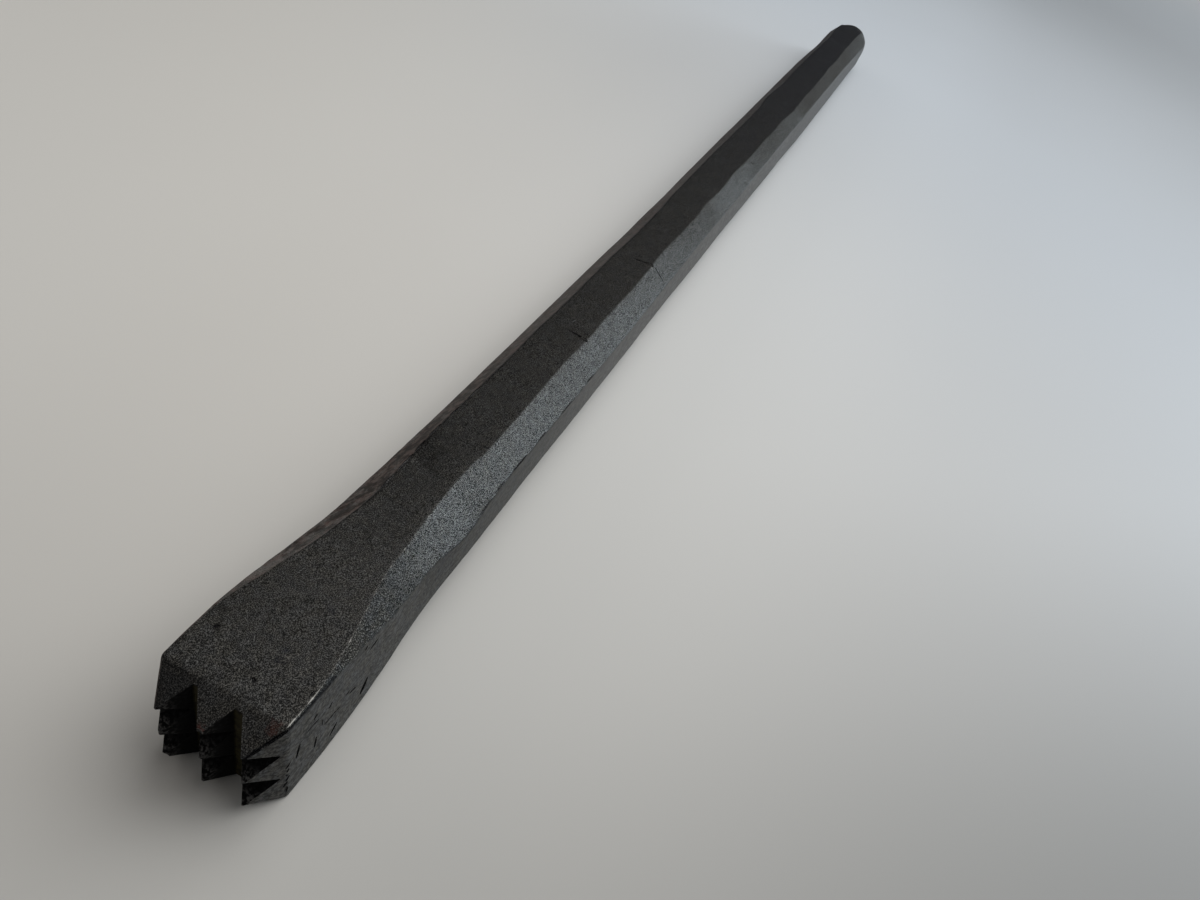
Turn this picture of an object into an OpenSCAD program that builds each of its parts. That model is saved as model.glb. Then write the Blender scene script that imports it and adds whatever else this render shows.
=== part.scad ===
// Hand bush chisel for dressing stone: one forged bar of steel, hammered to eight sides,
// with a square head that is cut by V grooves into a grid of pyramid teeth.
// It lies on its bottom flat. X runs from the teeth to the struck end and Z is up, and the
// origin is under the middle of its length. Distances from the tips are taken along X.

/* [Bar] */
// Length from the tooth tips to the struck end
chisel_l = 230; // [180:5:300]
// Width of the bar across its upright side flats
bar_w = 9.3; // [8.8:0.1:10]
// Height of the bar from its bottom flat to its top flat
bar_h = 9.6; // [9:0.1:10]
// Width of one bevel, seen from above
bevel_across = 2.1; // [1.6:0.1:2.8]
// Height of one bevel, seen from the side
bevel_up = 2.1; // [1.7:0.1:2.8]

/* [Head] */
// Width of the square head at its front edges
head_w = 9.7; // [9.2:0.1:12]
// Height of the square head
head_h = 10; // [9.6:0.1:12]
// Distance from the tooth tips to where the head's long edges start to open into bevels
head_l = 6; // [4:0.5:7]
// Break along the square head's long edges
head_break = 0.2; // [0.1:0.1:0.5]

/* [Teeth] */
// Teeth along each side of the head
teeth = 3; // [2:1:5]
// How far the tooth tips stand out from the head's front edges
tooth_l = 2.4; // [2.2:0.1:3]
// Depth of the upright grooves, from the tips
column_groove = 1.9; // [1.2:0.1:2]
// Depth of the level grooves, from the tips
row_groove = 1.6; // [1.2:0.1:2]
// Width of the flat at the root of each upright groove
column_root = 0.4; // [0.1:0.1:0.8]
// Width of the flat at the root of each level groove
row_root = 0.1; // [0.1:0.1:0.8]
// Width of the land left on each tooth tip
tip_land = 0.15; // [0.05:0.05:0.4]
// How far the left upright groove strays towards the left
groove_stray = 0.2; // [0:0.05:0.3]

/* [Neck] */
// Width across the cheeks, the head's widest place
cheek_w = 9.9; // [9.4:0.1:12]
// Distance from the tips to the back of the cheeks, where the sides start to curve in
cheek_at = 9; // [8:0.5:12]
// Width of the bevels at the back of the cheeks
cheek_bevel_across = 0.8; // [0.6:0.1:1.6]
// Height of the bevels at the back of the cheeks
cheek_bevel_up = 0.5; // [0.5:0.1:1.6]
// Distance from the tips to the waist, the narrowest place behind the head
waist_at = 19; // [15:0.5:21]
// Width of the waist
waist_w = 9.3; // [8.8:0.1:9.8]
// Height of the waist
waist_h = 9.8; // [9:0.1:10]
// Width of the bevels at the waist
waist_bevel_across = 2.1; // [1.6:0.1:2.6]
// Height of the bevels at the waist
waist_bevel_up = 2; // [1.2:0.1:2.4]
// Distance from the tips to the shoulder, where the bevels are broadest
shoulder_at = 24; // [22.5:0.5:30]
// Width of the shoulder
shoulder_w = 10; // [9.4:0.1:10.4]
// Height of the shoulder
shoulder_h = 10; // [9.6:0.1:10.4]
// Width of the bevels at the shoulder
shoulder_bevel_across = 2.7; // [2.4:0.1:3.2]
// Height of the bevels at the shoulder
shoulder_bevel_up = 3.1; // [2.6:0.1:3.6]
// Length over which the shoulder sinks into the bar
shoulder_fade = 7; // [5:0.5:12]

/* [Struck end] */
// Length of the rounded end
dome_l = 4; // [2:0.5:6]
// Width of the flat in its middle, which the hammer strikes
strike_w = 4.4; // [3:0.1:6]

/* [Hidden] */

steel = [0.25, 0.25, 0.25];
// How far the cutters run on in front of the tips
run_on = 1;
// Steps on each curved stretch
cheek_steps = 4;
waist_steps = 3;
dome_steps = 6;

// Marks of the hammer along the bar: the place, from 0 at its start to 1 at its end, and how
// much the width, the height and the bevels' width and height differ there from the plain bar
HAMMERED = [
    [0.00, 0.1, 0.3, 0.2, 0.5],
    [0.07, 0.1, 0.1, 0.3, 0.6],
    [0.15, 0.0, -0.1, 0.2, 0.4],
    [0.22, -0.2, -0.2, 0.2, 0.3],
    [0.30, -0.3, -0.2, 0.0, 0.2],
    [0.38, -0.1, 0.0, 0.1, 0.2],
    [0.46, -0.2, 0.0, 0.1, 0.0],
    [0.53, -0.2, 0.0, 0.0, -0.2],
    [0.61, -0.1, -0.1, -0.2, -0.3],
    [0.72, 0.0, -0.1, -0.2, -0.5],
    [0.84, -0.1, -0.2, -0.1, -0.3],
    [0.92, 0.0, -0.3, -0.1, 0.1],
    [1.00, 0.2, -0.2, -0.1, 0.3]
];

bar_from = shoulder_at + shoulder_fade;
bar_to = chisel_l - dome_l;

// The section's eight corners at x, from the right side flat's lower corner round by the bottom.
// across and up are a bevel's legs, and lift is the height of the section's bottom flat.
function section(x, w, h, across, up, lift = 0) = [
    [x, -w / 2, lift + up],
    [x, -w / 2 + across, lift],
    [x, w / 2 - across, lift],
    [x, w / 2, lift + up],
    [x, w / 2, lift + h - up],
    [x, w / 2 - across, lift + h],
    [x, -w / 2 + across, lift + h],
    [x, -w / 2, lift + h - up]
];

function between(from, to, share) = from + (to - from) * share;

// The head is square, with its long edges just broken, and widens a little to the cheeks
head_sections = [
    section(0, head_w, head_h, head_break, head_break),
    section(tooth_l, head_w, head_h, head_break, head_break),
    section(head_l, cheek_w, head_h, head_break, head_break)
];

// From the cheeks to the waist the sides curve in, and the bevels open fast and then slowly
cheek_sections = [
    for (i = [0 : cheek_steps])
        let (share = i / cheek_steps, inward = 1 - cos(90 * share), opening = sin(90 * share))
            section(
                between(cheek_at, waist_at, share),
                between(cheek_w, waist_w, inward),
                between(head_h, waist_h, inward),
                between(cheek_bevel_across, waist_bevel_across, opening),
                between(cheek_bevel_up, waist_bevel_up, opening)
            )
];

// From the waist the sides curve out again, up to the crease at the shoulder
shoulder_sections = [
    for (i = [1 : waist_steps])
        let (share = i / waist_steps, outward = 1 - cos(90 * share))
            section(
                between(waist_at, shoulder_at, share),
                between(waist_w, shoulder_w, outward),
                between(waist_h, shoulder_h, share),
                between(waist_bevel_across, shoulder_bevel_across, share),
                between(waist_bevel_up, shoulder_bevel_up, share)
            )
];

bar_sections = [
    for (mark = HAMMERED)
        section(
            between(bar_from, bar_to, mark[0]),
            bar_w + mark[1], bar_h + mark[2], bevel_across + mark[3], bevel_up + mark[4]
        )
];

// The struck end draws in from the bar's last section on a quarter of an ellipse
end_mark = HAMMERED[len(HAMMERED) - 1];
end_w = bar_w + end_mark[1];
end_h = bar_h + end_mark[2];
dome_sections = [
    for (i = [1 : dome_steps])
        let (turn = 90 * i / dome_steps, size = between(strike_w / end_w, 1, cos(turn)))
            section(
                bar_to + dome_l * sin(turn),
                end_w * size, end_h * size,
                (bevel_across + end_mark[3]) * size, (bevel_up + end_mark[4]) * size,
                end_h * (1 - size) / 2
            )
];

// A closed skin over a row of sections, with the front one first
module loft(sections) {
    corners = len(sections[0]);
    steps = len(sections) - 1;
    front = [for (i = [0 : corners - 1]) i];
    back = [for (i = [corners - 1 : -1 : 0]) steps * corners + i];
    sides = [
        for (step = [0 : steps - 1], i = [0 : corners - 1])
            let (a = step * corners + i, b = step * corners + (i + 1) % corners)
                each [[a, a + corners, b], [b, a + corners, b + corners]]
    ];
    polyhedron(points = [for (s = sections) each s], faces = concat([front], sides, [back]));
}

module forged_bar() {
    loft(concat(head_sections, cheek_sections, shoulder_sections, bar_sections, dome_sections));
}

// A cutter with the outline (x, z), drawn out along Y through the whole head
module filed_through(outline) {
    rotate([90, 0, 0])
        linear_extrude(height = 2 * (head_w + head_h), center = true)
            polygon(outline);
}

// The cuts that make the rows of teeth on a head of the given height: V grooves with a narrow
// flat at the root between the rows, and a slope above the top row and below the bottom one
module row_cuts(size, depth, root, stray = 0) {
    pitch = size / teeth;
    half_open = (pitch - tip_land) / 2;
    groove_half = half_open + (half_open - root / 2) * run_on / depth;
    slope_drop = half_open * (tooth_l + run_on) / tooth_l;
    for (i = [1 : teeth - 1])
        translate([0, 0, i * pitch - (i == 1 ? stray : 0)])
            filed_through([
                [depth, root / 2], [-run_on, groove_half],
                [-run_on, -groove_half], [depth, -root / 2]
            ]);
    for (turned = [0, 1])
        translate([0, 0, turned * size])
            mirror([0, 0, turned])
                filed_through([[tooth_l, 0], [-run_on, slope_drop], [-run_on, -run_on], [tooth_l, -run_on]]);
}

module tooth_cuts() {
    row_cuts(head_h, row_groove, row_root);
    translate([0, head_w / 2, 0])
        rotate([90, 0, 0])
            row_cuts(head_w, column_groove, column_root, groove_stray);
}

module chisel() {
    color(steel)
        translate([-chisel_l / 2, 0, 0])
            difference() {
                forged_bar();
                tooth_cuts();
            }
}

chisel();
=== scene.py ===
"""The looks of a hand bush chisel: one hammered steel bar with a toothed head, on a pale table.

The chisel is made in the order in which a smith makes it. HammeredBar draws the eight flats through
the marks that the hammer left, ToothedHead files the grooves that leave the teeth, ScaleFlaws takes out
the pits, laps and chips, and the finishes dress what is left. Studio holds the table, lamps and camera.

Sizes in the classes are in millimetres, and "at" is the distance from the tooth tips along the bar.
In the scene +X runs from the teeth to the struck end, +Y is the left as seen from the teeth, and +Z is up.
"""

import logging
import math
from collections.abc import Sequence
from dataclasses import dataclass
from enum import Enum, IntEnum

import bpy
import numpy as np
from mathutils import Euler, Matrix, Vector


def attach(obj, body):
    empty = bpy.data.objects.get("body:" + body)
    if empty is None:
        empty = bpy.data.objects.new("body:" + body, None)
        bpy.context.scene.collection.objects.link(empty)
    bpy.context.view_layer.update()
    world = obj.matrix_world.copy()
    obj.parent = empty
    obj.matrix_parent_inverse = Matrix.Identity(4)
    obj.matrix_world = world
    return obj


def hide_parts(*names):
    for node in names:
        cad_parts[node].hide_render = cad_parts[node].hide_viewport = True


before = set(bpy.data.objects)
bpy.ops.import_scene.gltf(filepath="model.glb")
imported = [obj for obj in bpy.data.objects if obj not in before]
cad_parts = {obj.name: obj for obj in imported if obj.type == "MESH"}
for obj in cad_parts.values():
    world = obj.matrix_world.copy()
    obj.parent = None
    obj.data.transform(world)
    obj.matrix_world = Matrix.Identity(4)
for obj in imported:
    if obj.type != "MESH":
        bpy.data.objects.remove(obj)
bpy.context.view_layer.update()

MM = 0.001
PER_MM = 1000.0
# The angle between two faces from which their edge looks sharp.
CREASE = math.radians(32)
# The middle of a noise, and the limit between the two values of an attribute that is 0 or 1.
HALF = 0.5
WHITE = (1.0, 1.0, 1.0)
Colour = tuple[float, float, float]
# How a measure runs along the bar: points of (at, value), with straight stretches between them.
Run = tuple[tuple[float, float], ...]
log = logging.getLogger("chisel")


class Arris(IntEnum):
    """The bar's eight long edges, in order round the section from the right side's lower one."""

    RIGHT_LOW = 0
    FOOT_RIGHT = 1
    FOOT_LEFT = 2
    LEFT_LOW = 3
    LEFT_HIGH = 4
    TOP_LEFT = 5
    TOP_RIGHT = 6
    RIGHT_HIGH = 7


class Flat(IntEnum):
    """The bar's eight flats, each from the arris of the same number to the next."""

    FOOT_RIGHT_BEVEL = 0
    FOOT = 1
    FOOT_LEFT_BEVEL = 2
    LEFT = 3
    LEFT_BEVEL = 4
    TOP = 5
    RIGHT_BEVEL = 6
    RIGHT = 7


class Detail(Enum):
    """Names of the attributes that the trees leave on the mesh for the finishes."""

    WORN = "worn"
    FILED = "filed"
    PITTED = "pitted"
    DUSTY = "dusty"


def read_run(run: Run, at: float) -> float:
    """Reads a run at one place. It keeps its first and last value beyond its ends.

    Args:
        run: The points of the run.
        at: The distance from the tips.

    Returns:
        The value there.
    """
    return float(np.interp(at, [place for place, _ in run], [value for _, value in run]))


class NodeMaker:
    """Adds and links the nodes of one tree."""

    def __init__(self, tree: bpy.types.NodeTree) -> None:
        """Starts on a tree.

        Args:
            tree: The shader or geometry tree that gets the nodes.
        """
        self.tree = tree

    def feed(self, socket: bpy.types.NodeSocket, value: object) -> None:
        """Links a socket, or gives it a value.

        Args:
            socket: The input socket.
            value: Another node's output socket, several of them, or a plain value.
        """
        if isinstance(value, bpy.types.NodeSocket):
            self.tree.links.new(value, socket)
        elif isinstance(value, list):
            for one in value:
                self.tree.links.new(one, socket)
        else:
            socket.default_value = value

    def add(self, kind: str, inputs: dict[str, object] | None = None, **settings: object) -> bpy.types.Node:
        """Adds a node.

        Args:
            kind: Blender's type name of the node.
            inputs: Values or sockets by the identifier or name of the node's input.
            **settings: The node's own settings.

        Returns:
            The node.
        """
        node = self.tree.nodes.new(kind)
        for name, value in settings.items():
            setattr(node, name, value)
        for name, value in (inputs or {}).items():
            exact = [s for s in node.inputs if s.identifier == name]
            self.feed((exact or [s for s in node.inputs if s.name == name])[0], value)
        return node

    def sum(self, operation: str, *values: object) -> bpy.types.NodeSocket:
        """Adds a Math node.

        Args:
            operation: The operation's name.
            *values: One to three numbers or sockets.

        Returns:
            The result's socket.
        """
        inputs = dict(zip(("Value", "Value_001", "Value_002"), values))
        return self.add("ShaderNodeMath", inputs, operation=operation).outputs[0]

    def chain(self, operation: str, *values: object) -> bpy.types.NodeSocket:
        """Joins any number of values with one operation, from the first to the last.

        Args:
            operation: The Math operation's name.
            *values: Two or more numbers or sockets.

        Returns:
            The result's socket.
        """
        result = values[0]
        for value in values[1:]:
            result = self.sum(operation, result, value)
        return result

    def times(self, *values: object) -> bpy.types.NodeSocket:
        """Multiplies numbers or sockets, and returns the result's socket."""
        return self.chain("MULTIPLY", *values)

    def vector(self, operation: str, *values: object) -> bpy.types.NodeSocket:
        """Adds a Vector Math node.

        Args:
            operation: The operation's name.
            *values: One to three vectors or sockets; for SCALE, a vector and a number.

        Returns:
            The result's socket, which carries a number for LENGTH and DISTANCE.
        """
        names = ("Vector", "Scale") if operation == "SCALE" else ("Vector", "Vector_001", "Vector_002")
        node = self.add("ShaderNodeVectorMath", dict(zip(names, values)), operation=operation)
        return node.outputs["Value" if operation in ("LENGTH", "DISTANCE") else "Vector"]

    def combine(self, x: object, y: object, z: object) -> bpy.types.NodeSocket:
        """Joins three numbers to a vector.

        Args:
            x: Its first number or socket.
            y: Its second.
            z: Its third.

        Returns:
            The vector's socket.
        """
        return self.add("ShaderNodeCombineXYZ", {"X": x, "Y": y, "Z": z}).outputs[0]

    def separate(self, vector: object) -> list[bpy.types.NodeSocket]:
        """Splits a vector.

        Args:
            vector: The vector's socket.

        Returns:
            The sockets of its three numbers.
        """
        return list(self.add("ShaderNodeSeparateXYZ", {"Vector": vector}).outputs)

    def noise(
        self, place: object, detail: float = 2.0, roughness: float = 0.5, size: float = 1.0,
    ) -> bpy.types.NodeSocket:
        """Adds a noise.

        Args:
            place: Where it is read.
            detail: Its number of octaves.
            roughness: How strong the finer octaves are.
            size: How many of its features go into one unit of the place.

        Returns:
            The socket of its value, from 0 to 1.
        """
        inputs = {"Vector": place, "Scale": size, "Detail": detail, "Roughness": roughness}
        return self.add("ShaderNodeTexNoise", inputs, noise_dimensions="3D").outputs[0]

    def centred(self, noise: object) -> bpy.types.NodeSocket:
        """Shifts a noise to swing round 0, and returns the result's socket."""
        return self.sum("SUBTRACT", noise, HALF)

    def ramp(
        self, value: object, start: float, end: float, low: object = 0.0, high: object = 1.0,
    ) -> bpy.types.NodeSocket:
        """Maps a number smoothly from one range to another, and holds it there.

        Args:
            value: The number's socket.
            start: The value that gives low.
            end: The value that gives high.
            low: The result at the start, or its socket.
            high: The result at the end, or its socket.

        Returns:
            The result's socket.
        """
        inputs = {"Value": value, "From Min": start, "From Max": end, "To Min": low, "To Max": high}
        return self.add("ShaderNodeMapRange", inputs, interpolation_type="SMOOTHSTEP").outputs[0]

    def between(self, share: object, first: object, second: object) -> bpy.types.NodeSocket:
        """Mixes two numbers.

        Args:
            share: The second's share, or its socket.
            first: The number at 0, or its socket.
            second: The number at 1, or its socket.

        Returns:
            The socket of the mixed number.
        """
        inputs = {"Factor_Float": share, "A_Float": first, "B_Float": second}
        return self.add("ShaderNodeMix", inputs, data_type="FLOAT").outputs[0]

    def blend(self, share: object, first: object, second: object) -> bpy.types.NodeSocket:
        """Mixes two colours.

        Args:
            share: The second's share, or its socket.
            first: The colour at 0, or its socket.
            second: The colour at 1, or its socket.

        Returns:
            The socket of the mixed colour.
        """
        inputs = {"Factor_Float": share}
        for name, value in (("A_Color", first), ("B_Color", second)):
            inputs[name] = (*value, 1.0) if isinstance(value, tuple) else value
        node = self.add("ShaderNodeMix", inputs, data_type="RGBA")
        return next(s for s in node.outputs if s.identifier == "Result_Color")

    def detail(self, name: Detail) -> bpy.types.NodeSocket:
        """Reads an attribute of the mesh in a material, and returns the socket of its value."""
        return self.add("ShaderNodeAttribute", attribute_name=name.value).outputs["Fac"]


class ShapeTree(NodeMaker):
    """A Geometry Nodes tree with named inputs, which ends in Realize Instances, and in Set Material where it
    is given a material.
    """

    def __init__(self, name: str) -> None:
        """Starts an empty tree.

        Args:
            name: The tree's name.
        """
        super().__init__(bpy.data.node_groups.new(name, "GeometryNodeTree"))
        for way in ("INPUT", "OUTPUT"):
            self.tree.interface.new_socket("Geometry", in_out=way, socket_type="NodeSocketGeometry")
        self.values: dict[str, object] = {}
        self.given = self.tree.nodes.new("NodeGroupInput")
        self.result = self.tree.nodes.new("NodeGroupOutput")

    @property
    def shape(self) -> bpy.types.NodeSocket:
        """The geometry that the tree is given.

        Returns:
            Its socket.
        """
        return self.given.outputs["Geometry"]

    def ask(self, name: str, value: object, kind: str = "Float") -> bpy.types.NodeSocket:
        """Adds a named input.

        Args:
            name: The input's name.
            value: What this object's modifier gives it.
            kind: Its type: Float, Int, Vector, Object or Material.

        Returns:
            The socket that carries it in the tree.
        """
        made = self.tree.interface.new_socket(name, in_out="INPUT", socket_type=f"NodeSocket{kind}")
        if kind not in ("Object", "Material"):
            made.default_value = value
        self.values[made.identifier] = value
        return self.given.outputs[name]

    def ask_sizes(self, sizes: dict[str, float]) -> list[bpy.types.NodeSocket]:
        """Adds a named input for each size.

        Args:
            sizes: The sizes in millimetres, by name. The inputs are in metres.

        Returns:
            The sockets that carry them in the tree, in the same order.
        """
        return [self.ask(name, size * MM) for name, size in sizes.items()]

    def attribute(self, name: str, kind: str = "FLOAT") -> bpy.types.NodeSocket:
        """Reads an attribute of the geometry.

        Args:
            name: The attribute's name.
            kind: FLOAT or FLOAT_VECTOR.

        Returns:
            The socket of its value.
        """
        node = self.add("GeometryNodeInputNamedAttribute", {"Name": name}, data_type=kind)
        return node.outputs["Attribute"]

    def store(self, shape: object, name: str, value: object, domain: str = "POINT") -> bpy.types.NodeSocket:
        """Stores a number on a geometry.

        Args:
            shape: The geometry's socket.
            name: The attribute's name.
            value: The number or its socket.
            domain: What carries it: POINT or FACE.

        Returns:
            The socket of the geometry with the attribute.
        """
        inputs = {"Geometry": shape, "Name": name, "Value": value}
        node = self.add("GeometryNodeStoreNamedAttribute", inputs, data_type="FLOAT", domain=domain)
        return node.outputs[0]

    def over(self, value: object, limit: object) -> bpy.types.NodeSocket:
        """Tests whether a number is over a limit.

        Args:
            value: The number's socket.
            limit: The limit, or its socket.

        Returns:
            The socket of the answer.
        """
        inputs = {"A": value, "B": limit}
        node = self.add("FunctionNodeCompare", inputs, data_type="FLOAT", operation="GREATER_THAN")
        return node.outputs[0]

    def moved(self, shape: object, **where: object) -> bpy.types.NodeSocket:
        """Moves a geometry's points.

        Args:
            shape: The geometry's socket.
            **where: Position for new places, or Offset for a shift, with the vector's socket.

        Returns:
            The socket of the geometry.
        """
        return self.add("GeometryNodeSetPosition", {"Geometry": shape, **where}).outputs[0]

    def cut(self, shape: object, cutters: object) -> bpy.types.NodeSocket:
        """Takes closed cutters out of a closed geometry.

        Args:
            shape: The geometry's socket.
            cutters: The cutters' socket, or a list of them.

        Returns:
            The socket of what is left.
        """
        inputs = {"Mesh 1": shape, "Mesh 2": cutters}
        node = self.add("GeometryNodeMeshBoolean", inputs, operation="DIFFERENCE", solver="MANIFOLD")
        return node.outputs[0]

    def finish(self, shape: object, material: object = None, filed: object = None) -> None:
        """Ends the tree: real faces, smooth but for sharp edges, with the materials on them.

        Args:
            shape: The geometry's socket.
            material: The material's socket, or None for a group that only hands geometry on.
            filed: The socket of the material of the filed walls, where there are any.
        """
        real = self.add("GeometryNodeRealizeInstances", {"Geometry": shape}).outputs[0]
        if material is not None:
            inputs = {"Geometry": real, "Shade Smooth": True}
            smooth = self.add("GeometryNodeSetShadeSmooth", inputs, domain="FACE").outputs[0]
            sharp = self.over(self.add("GeometryNodeInputMeshEdgeAngle").outputs[0], CREASE)
            inputs = {"Geometry": smooth, "Selection": sharp, "Shade Smooth": False}
            creased = self.add("GeometryNodeSetShadeSmooth", inputs, domain="EDGE").outputs[0]
            real = self.add("GeometryNodeSetMaterial", {"Geometry": creased, "Material": material}).outputs[0]
        if filed is not None:
            walls = self.over(self.attribute(Detail.FILED.value), HALF)
            inputs = {"Geometry": real, "Selection": walls, "Material": filed}
            real = self.add("GeometryNodeSetMaterial", inputs).outputs[0]
        self.feed(self.result.inputs["Geometry"], real)

    def apply(self, piece: bpy.types.Object) -> None:
        """Runs the tree on an object and makes the result its plain mesh.

        Args:
            piece: The mesh object.
        """
        modifier = piece.modifiers.new(self.tree.name, "NODES")
        modifier.node_group = self.tree
        for identifier, value in self.values.items():
            modifier[identifier] = value
        made = bpy.data.meshes.new_from_object(piece.evaluated_get(bpy.context.evaluated_depsgraph_get()))
        piece.modifiers.clear()
        old = piece.data
        made.name = piece.name
        piece.data = made
        bpy.data.meshes.remove(old)


@dataclass(frozen=True)
class Mark:
    """The section that the hammer left at one place along the bar, but for the top flat's edges."""

    at: float
    height: float
    side_left: float
    drop_left: float
    side_right: float
    drop_right: float


def hammer_marks() -> tuple[Mark, ...]:
    """The marks along this bar, from behind the teeth to the struck end.

    What the photo shows of them was measured in it.

    Returns:
        The marks. Sides go out from the middle, and drops down from the top flat.
    """
    rows = (
        (2.4, 9.95, 4.85, 0.20, 4.83, 0.20),
        (5.0, 9.95, 4.92, 0.20, 4.92, 0.22),
        (7.0, 9.93, 4.95, 0.25, 4.95, 0.33),
        (8.0, 9.90, 4.96, 0.32, 4.96, 0.42),
        (10.0, 9.90, 4.96, 0.60, 4.96, 0.58),
        (12.0, 9.93, 4.96, 1.10, 4.96, 1.00),
        (14.0, 9.95, 4.93, 1.55, 4.93, 1.55),
        (16.0, 9.93, 4.85, 1.85, 4.81, 1.90),
        (18.0, 9.85, 4.72, 1.95, 4.70, 2.05),
        (20.0, 9.85, 4.66, 2.10, 4.66, 2.15),
        (22.0, 9.88, 4.82, 2.60, 4.76, 2.70),
        (23.0, 9.90, 4.92, 2.85, 4.84, 3.05),
        (24.0, 9.93, 4.96, 3.00, 4.90, 3.20),
        (25.5, 9.95, 4.93, 3.05, 4.93, 3.10),
        (27.0, 9.95, 4.84, 2.95, 4.90, 2.80),
        (28.0, 9.95, 4.77, 2.85, 4.87, 2.50),
        (29.7, 9.93, 4.69, 2.72, 4.80, 2.50),
        (30.5, 9.92, 4.68, 2.69, 4.79, 2.46),
        (32.0, 9.85, 4.66, 2.62, 4.77, 2.30),
        (36.0, 9.75, 4.63, 2.60, 4.73, 2.33),
        (40.0, 9.70, 4.63, 2.62, 4.72, 2.40),
        (44.0, 9.65, 4.64, 2.63, 4.74, 2.48),
        (48.0, 9.60, 4.65, 2.60, 4.75, 2.32),
        (52.0, 9.56, 4.63, 2.60, 4.73, 2.35),
        (56.0, 9.50, 4.64, 2.57, 4.71, 2.40),
        (60.0, 9.45, 4.63, 2.53, 4.69, 2.40),
        (66.0, 9.42, 4.61, 2.48, 4.65, 2.32),
        (72.0, 9.38, 4.58, 2.43, 4.57, 2.42),
        (78.0, 9.37, 4.51, 2.37, 4.52, 2.36),
        (84.0, 9.37, 4.46, 2.32, 4.56, 2.05),
        (90.0, 9.38, 4.47, 2.27, 4.56, 1.92),
        (96.0, 9.45, 4.40, 2.29, 4.55, 2.12),
        (102.0, 9.54, 4.45, 2.30, 4.52, 2.46),
        (108.0, 9.58, 4.46, 2.26, 4.52, 2.60),
        (114.0, 9.60, 4.45, 2.16, 4.56, 2.22),
        (120.0, 9.60, 4.43, 2.06, 4.56, 1.92),
        (126.0, 9.58, 4.44, 1.98, 4.58, 1.82),
        (132.0, 9.55, 4.42, 1.92, 4.60, 1.70),
        (138.0, 9.53, 4.41, 1.85, 4.56, 1.84),
        (144.0, 9.50, 4.44, 1.79, 4.53, 1.88),
        (150.0, 9.49, 4.44, 1.73, 4.61, 1.60),
        (156.0, 9.48, 4.43, 1.68, 4.69, 1.34),
        (165.0, 9.47, 4.48, 1.63, 4.67, 1.40),
        (174.0, 9.47, 4.51, 1.62, 4.61, 1.62),
        (183.0, 9.46, 4.53, 1.65, 4.61, 1.65),
        (192.0, 9.40, 4.55, 1.78, 4.60, 1.68),
        (200.0, 9.36, 4.44, 1.92, 4.62, 1.86),
        (207.0, 9.32, 4.45, 2.08, 4.61, 2.15),
        (216.0, 9.35, 4.70, 2.25, 4.63, 2.45),
        (226.0, 9.40, 4.80, 2.36, 4.75, 2.58),
    )
    return tuple(Mark(*row) for row in rows)


def top_left_edge() -> Run:
    """How far the top flat's left edge is from the middle of the bar.

    Returns:
        The turns of the edge along this bar, as measured in the photo, with straight runs between them.
    """
    return (
        (2.4, 4.70), (5.0, 4.75), (7.0, 4.70), (8.0, 4.55), (10.0, 4.05), (12.0, 3.60),
        (14.0, 3.10), (16.0, 2.75), (18.0, 2.55), (20.0, 2.30), (22.0, 2.20), (25.5, 2.22),
        (28.0, 2.32), (29.7, 2.43), (31.0, 2.46), (33.0, 2.53), (36.0, 2.46), (44.0, 2.44),
        (50.0, 2.53), (52.0, 2.53), (54.0, 2.43), (56.0, 2.40), (70.0, 2.44), (72.0, 2.50),
        (74.0, 2.35), (80.0, 2.28), (90.0, 2.34), (92.0, 2.54), (100.0, 2.52), (106.0, 2.57),
        (108.0, 2.50), (110.0, 2.60), (116.0, 2.58), (122.0, 2.48), (124.0, 2.50), (126.0, 2.58),
        (130.0, 2.48), (132.0, 2.56), (136.0, 2.52), (140.0, 2.62), (144.0, 2.68), (146.0, 2.92),
        (148.0, 3.02), (150.0, 3.02), (156.0, 2.90), (158.0, 2.68), (162.0, 2.68), (170.0, 2.90),
        (175.0, 2.92), (178.0, 2.84), (182.0, 2.90), (184.0, 2.82), (186.0, 2.88), (204.0, 2.84),
        (206.0, 2.70), (208.0, 2.66), (210.0, 2.74), (212.0, 2.90), (216.0, 3.00), (222.0, 2.94),
        (226.0, 2.80),
    )


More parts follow.
